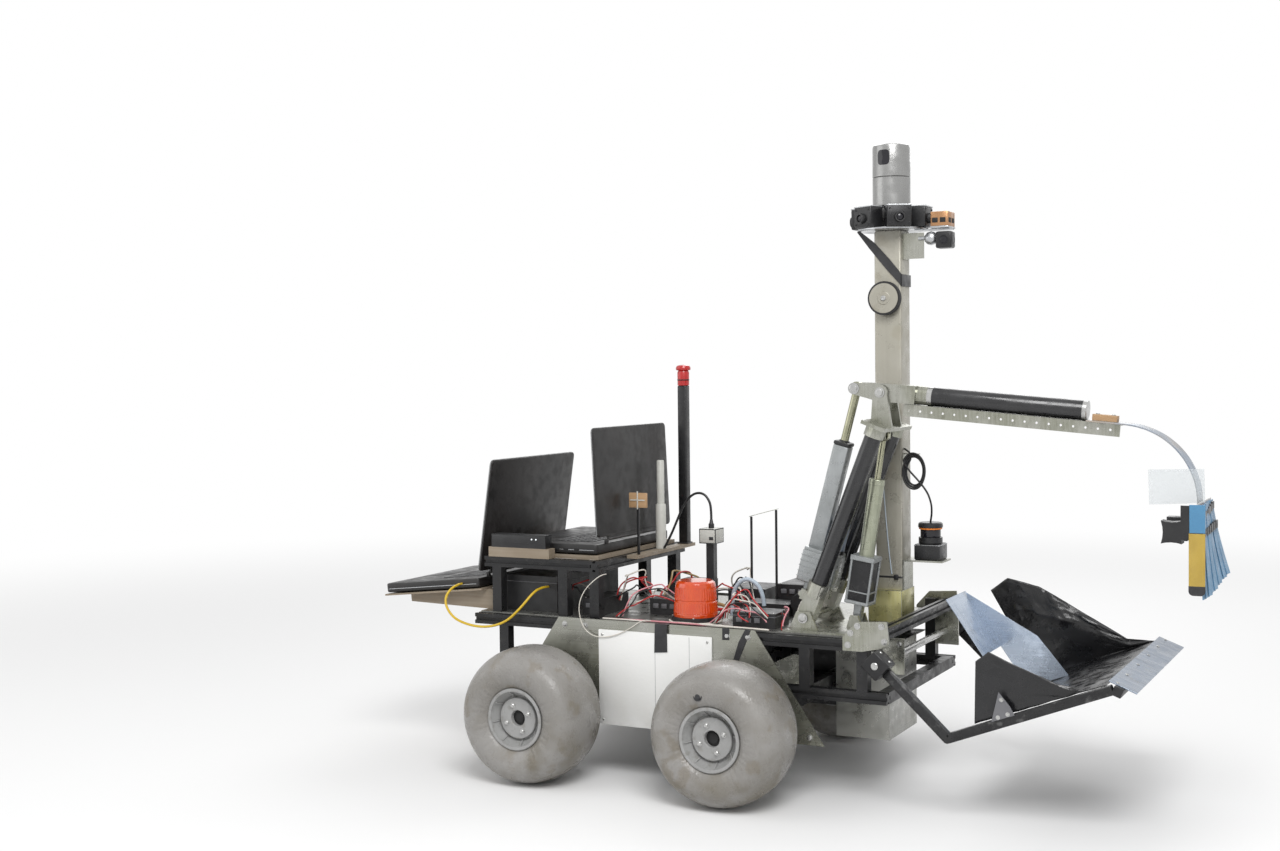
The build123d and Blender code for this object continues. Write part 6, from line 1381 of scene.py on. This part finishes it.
def side_pieces():
    """Bolts of the side plates, sign board with lines and screws, black straps, tyre valve, white loop."""
    spots = [(-0.215, 0.35), (-0.16, 0.35), (0.205, 0.35), (0.255, 0.35), (-0.29, 0.215), (0.305, 0.215),
        (-0.365, 0.14), (-0.25, 0.14), (0.25, 0.14), (0.4, 0.14)]
    front = [(0.49, 0.35), (0.496, 0.376), (0.512, 0.392), (0.566, 0.394), (0.572, 0.362)]
    inner = [(0.552, 0.35), (0.588, 0.35)]
    bolts = [cross_bolt(spot, side * offset, side, radius, reach)
        for group, offset, radius, reach in ((spots, 0.258, 0.0048, 0.0042), (front, 0.259, 0.0048, 0.0042),
        (inner, 0.206, 0.004, 0.0036)) for spot in group for side in (-1, 1)]
    dress("plate_bolts", "chassis", BOLT_STEEL, bolts)
    board = [box_at((-0.1222, 0.1682), (-0.2631, -0.2581), (0.1228, 0.3442), 0.0012)]
    dress("sign_skin", "chassis", SIGN_WHITE, board, ["sign_board"])
    lines = [box_at((x, x + 0.0008), (-0.26325, -0.2629), (0.126, 0.341), 0.00005, 2)
        for x in (0.025, 0.112)]
    dress("sign_lines", "chassis", GREY_CASE, lines)
    heads = [head_screw(at(x, -0.2631, z), (0, -1, 0), 0.0032, 0.0016) for x in (-0.112, 0.158)
        for z in (0.134, 0.333)]
    dress("sign_screws", "chassis", BOLT_STEEL, heads)
    straps = [sheet_part([(0.024, 0.3), (0.0575, 0.303), (0.057, 0.366), (0.026, 0.366)], -0.2646, -0.2634,
        0.0004), box_at((0.026, 0.057), (-0.264, -0.245), (0.3655, 0.3668), 0.0004),
        sheet_part([(0.193, 0.34), (0.21, 0.341), (0.21, 0.367), (0.193, 0.367)], -0.2594, -0.2582, 0.0004),
        sheet_part([(0.22, 0.298), (0.233, 0.296), (0.248, 0.332), (0.262, 0.366), (0.25, 0.3685),
        (0.233, 0.338)], -0.26, -0.2585, 0.0004)]
    dress("black_straps", "chassis", TAPE_BLACK, straps)
    valve = turned_part([(0.01, 0.001), (0.0098, 0.0034), (0.008, 0.003), (0.0062, 0.002), (0.0058, 0.004),
        (0.003, 0.0042), (0.0004, 0.0043)], at(0.2235, -0.4505, 0.251), (0, -1, 0), 36)
    dress("tyre_valve", "wheel_front_right", TAPE_BLACK, [valve])
    lead("white_loop", "chassis", WIRE_WHITE, [
        (-0.118, -0.23, 0.469), (-0.119, -0.245, 0.47), (-0.132, -0.258, 0.46), (-0.158, -0.2645, 0.434),
        (-0.174, -0.2655, 0.398), (-0.168, -0.2655, 0.358), (-0.148, -0.2655, 0.332),
        (-0.115, -0.2655, 0.325), (-0.075, -0.2655, 0.333), (-0.036, -0.2655, 0.352),
        (-0.012, -0.262, 0.37), (0.002, -0.25, 0.372), (0.014, -0.239, 0.3665)], 0.0011)


# Scoop

SCOOP_ARM, SCOOP_CLAMP, CLAMP_HALF = 0.284, 0.288, 0.023


def scoop_pieces():
    """Clamps on the cross shaft, bent square-tube arms, cross bar, gussets, blade and two chute sheets."""
    pivot, corner, tip = map(np.array, (SHAFT, CORNER, TIP))
    run = (corner - pivot) / np.linalg.norm(corner - pivot)
    low, start = pivot - run * CLAMP_HALF, pivot + run * CLAMP_HALF
    normal = np.array([-run[1], run[0]])

    def bar(first, last, offset, width=SCOOP_BAR, edge=SCOOP_BAR_EDGE):
        """Rounded square bar between two spots of one upright plane."""
        return rounded_bar(at(first[0], offset, first[1]), at(last[0], offset, last[1]), width, width, edge,
            Y_AXIS)

    shaft = turned_part([(0.0065, -0.3138), (0.008, -0.3125), (0.008, 0.3125), (0.0065, 0.3138)],
        at(SHAFT[0], 0.0, SHAFT[1]), Y_AXIS, 36)
    dress("scoop_shaft", "scoop", BOLT_STEEL, [shaft])
    clamps, arms, gussets, screws = [], [], [], []
    for side in (-1, 1):
        clamps.append(bar(low, start, side * SCOOP_CLAMP, 2 * CLAMP_HALF, 0.003))
        arms += [bar(start, corner, side * SCOOP_ARM), bar(corner, tip, side * SCOOP_ARM)]
        arms.append(turned_part([(0.0086, -0.0097), (0.0097, -0.0086), (0.0097, 0.0086), (0.0086, 0.0097)],
            at(corner[0], side * SCOOP_ARM, corner[1]), Y_AXIS, 32))
        outer = sorted((side * 0.2938, side * 0.297))
        gussets.append(sheet_part([(0.812, 0.22), (0.86, 0.238), (0.85, 0.256), (0.827, 0.283)], *outer))
        for spot in ((0.826, 0.231), (0.846, 0.239), (0.833, 0.268)):
            screws.append(cross_bolt(spot, side * 0.2968, side, 0.003, 0.0026))
        for reach in (-0.013, 0.013):
            for lift in (-0.0225, 0.0225):
                spot = pivot + run * reach + normal * lift
                screws.append(head_screw(at(spot[0], side * SCOOP_CLAMP, spot[1]),
                    np.sign(lift) * np.insert(normal, 1, 0), 0.004, 0.0026))
    slope = np.array([0.054, -0.0213]) / np.hypot(0.054, 0.0213)
    back = np.array([1.044, 0.32])
    middle = back + slope * 0.024 + np.array([slope[1], -slope[0]]) * SCOOP_BAR / 2
    arms.append(rounded_bar(at(middle[0], -0.2938, middle[1]), at(middle[0], 0.2938, middle[1]), SCOOP_BAR,
        SCOOP_BAR, SCOOP_BAR_EDGE, across=(slope[0], 0, slope[1])))
    dress("scoop_clamps", "scoop", BLACK_BAR, clamps, ["scoop_hinge"])
    dress("scoop_tubes", "scoop", SCOOP_BLACK, arms, ["scoop_frame"])
    dress("scoop_gussets", "scoop", GREY_CASE, gussets)
    dress("scoop_screws", "scoop", BOLT_STEEL, screws)
    up = np.array([-slope[1], slope[0]])
    front = np.array([1.098, 0.2987])
    lip = [back, front, front + up * 0.0025, back + up * 0.0025]
    dress("blade_skin", "scoop", BLADE_STEEL, [sheet_part(lip, -0.284, 0.284, 0.0004)],
        ["scoop_blade"])
    heads = []
    for y in (-0.274, -0.18, -0.06, 0.06, 0.18, 0.274):
        spot = back + slope * 0.016 + up * 0.0024
        heads.append(head_screw(at(spot[0], y, spot[1]), (up[0], 0, up[1]), 0.0036, 0.002))
    dress("blade_screws", "scoop", BOLT_STEEL, heads)
    top, foot = np.array([0.643, 0.428]), np.array([0.727, 0.307])
    along = (foot - top) / np.linalg.norm(foot - top)
    off = np.array([-along[1], along[0]]) * 0.002
    over = 0.0036
    slide = [top, (0.811, 0.336), (0.88, scoop_floor(0.88) + over), (0.79, scoop_floor(0.79) + over), foot]
    sheets = [sheet_part([top, foot, foot + off, top + off], -0.05, 0.1, 0.0004),
        sheet_part(slide, 0.098, 0.1, 0.0004)]
    dress("chute_sheets", "scoop", CHUTE_METAL, sheets, ["scoop_chute"])


side_pieces()
scoop_pieces()


# Floor and light

def background_rays(tree):
    """Output that is one for camera, glossy and transmission rays and zero for diffuse light."""
    rays = add_node(tree, "LightPath").outputs
    clear = add_node(tree, "Math", {0: rays["Is Camera Ray"], 1: rays["Is Glossy Ray"]},
        operation="MAXIMUM")
    return add_node(tree, "Math", {0: clear.outputs[0], 1: rays["Is Transmission Ray"]},
        operation="MAXIMUM").outputs[0]


def floor_paint(near, far):
    """Plain pale finish that turns into the background's white with the distance from the middle."""
    material = bpy.data.materials.new("floor_paint")
    material.use_nodes = True
    tree = material.node_tree
    shader = tree.nodes["Principled BSDF"]
    feed(tree, shader.inputs["Base Color"], (0.84, 0.84, 0.84))
    shader.inputs["Roughness"].default_value = 0.8
    place = add_node(tree, "TexCoord").outputs["Object"]
    reach = add_node(tree, "VectorMath", {0: place}, operation="LENGTH").outputs["Value"]
    level = add_node(tree, "MapRange", {"Value": reach, "From Min": near, "From Max": far},
        interpolation_type="SMOOTHSTEP").outputs["Result"]
    share = add_node(tree, "Math", {0: level, 1: background_rays(tree)}, operation="MULTIPLY").outputs[0]
    white = add_node(tree, "Emission", {"Color": (1, 1, 1)}).outputs[0]
    mix = add_node(tree, "MixShader", {0: share, 1: shader.outputs[0], 2: white})
    tree.links.new(mix.outputs[0], tree.nodes["Material Output"].inputs["Surface"])
    return material


def make_floor():
    """One large flat square at height zero."""
    half = 30.0
    corners = [(-half, -half, 0), (half, -half, 0), (half, half, 0), (-half, half, 0)]
    data = bpy.data.meshes.new("pale_floor")
    data.from_pydata(corners, [], [(0, 1, 2, 3)])
    floor = bpy.data.objects.new("pale_floor", data)
    data.materials.append(floor_paint(1.6, 6.0))
    scene.collection.objects.link(floor)


def make_world():
    """Even white sky; the camera, gloss and glass see plain white, and the light on the rover is weaker."""
    world = bpy.data.worlds.new("plain_sky")
    world.use_nodes = True
    tree = world.node_tree
    tree.nodes.clear()
    lit, shown = (add_node(tree, "Background", {"Color": (1, 1, 1), "Strength": strength}).outputs[0]
        for strength in (0.62, 1.0))
    mix = add_node(tree, "MixShader", {0: background_rays(tree), 1: lit, 2: shown})
    add_node(tree, "OutputWorld", {"Surface": mix.outputs[0]})
    scene.world = world


def area_light(name, place, target, size, power):
    """Soft square lamp that looks at a point."""
    data = bpy.data.lights.new(name, "AREA")
    data.size = size
    data.energy = power
    lamp = bpy.data.objects.new(name, data)
    lamp.location = place
    lamp.rotation_euler = (Vector(target) - Vector(place)).to_track_quat("-Z", "Y").to_euler()
    scene.collection.objects.link(lamp)


make_floor()
make_world()
area_light("key_lamp", (1.5, -2.6, 3.6), (0, 0, 0.5), 2.0, 120)
area_light("fill_lamp", (-3.4, -2.2, 2.2), (0, 0, 0.5), 3.0, 28)
area_light("back_lamp", (-0.5, 3.2, 3.0), (0, 0, 0.7), 2.5, 50)

scene.view_settings.view_transform = "Standard"

bpy.context.view_layer.update()
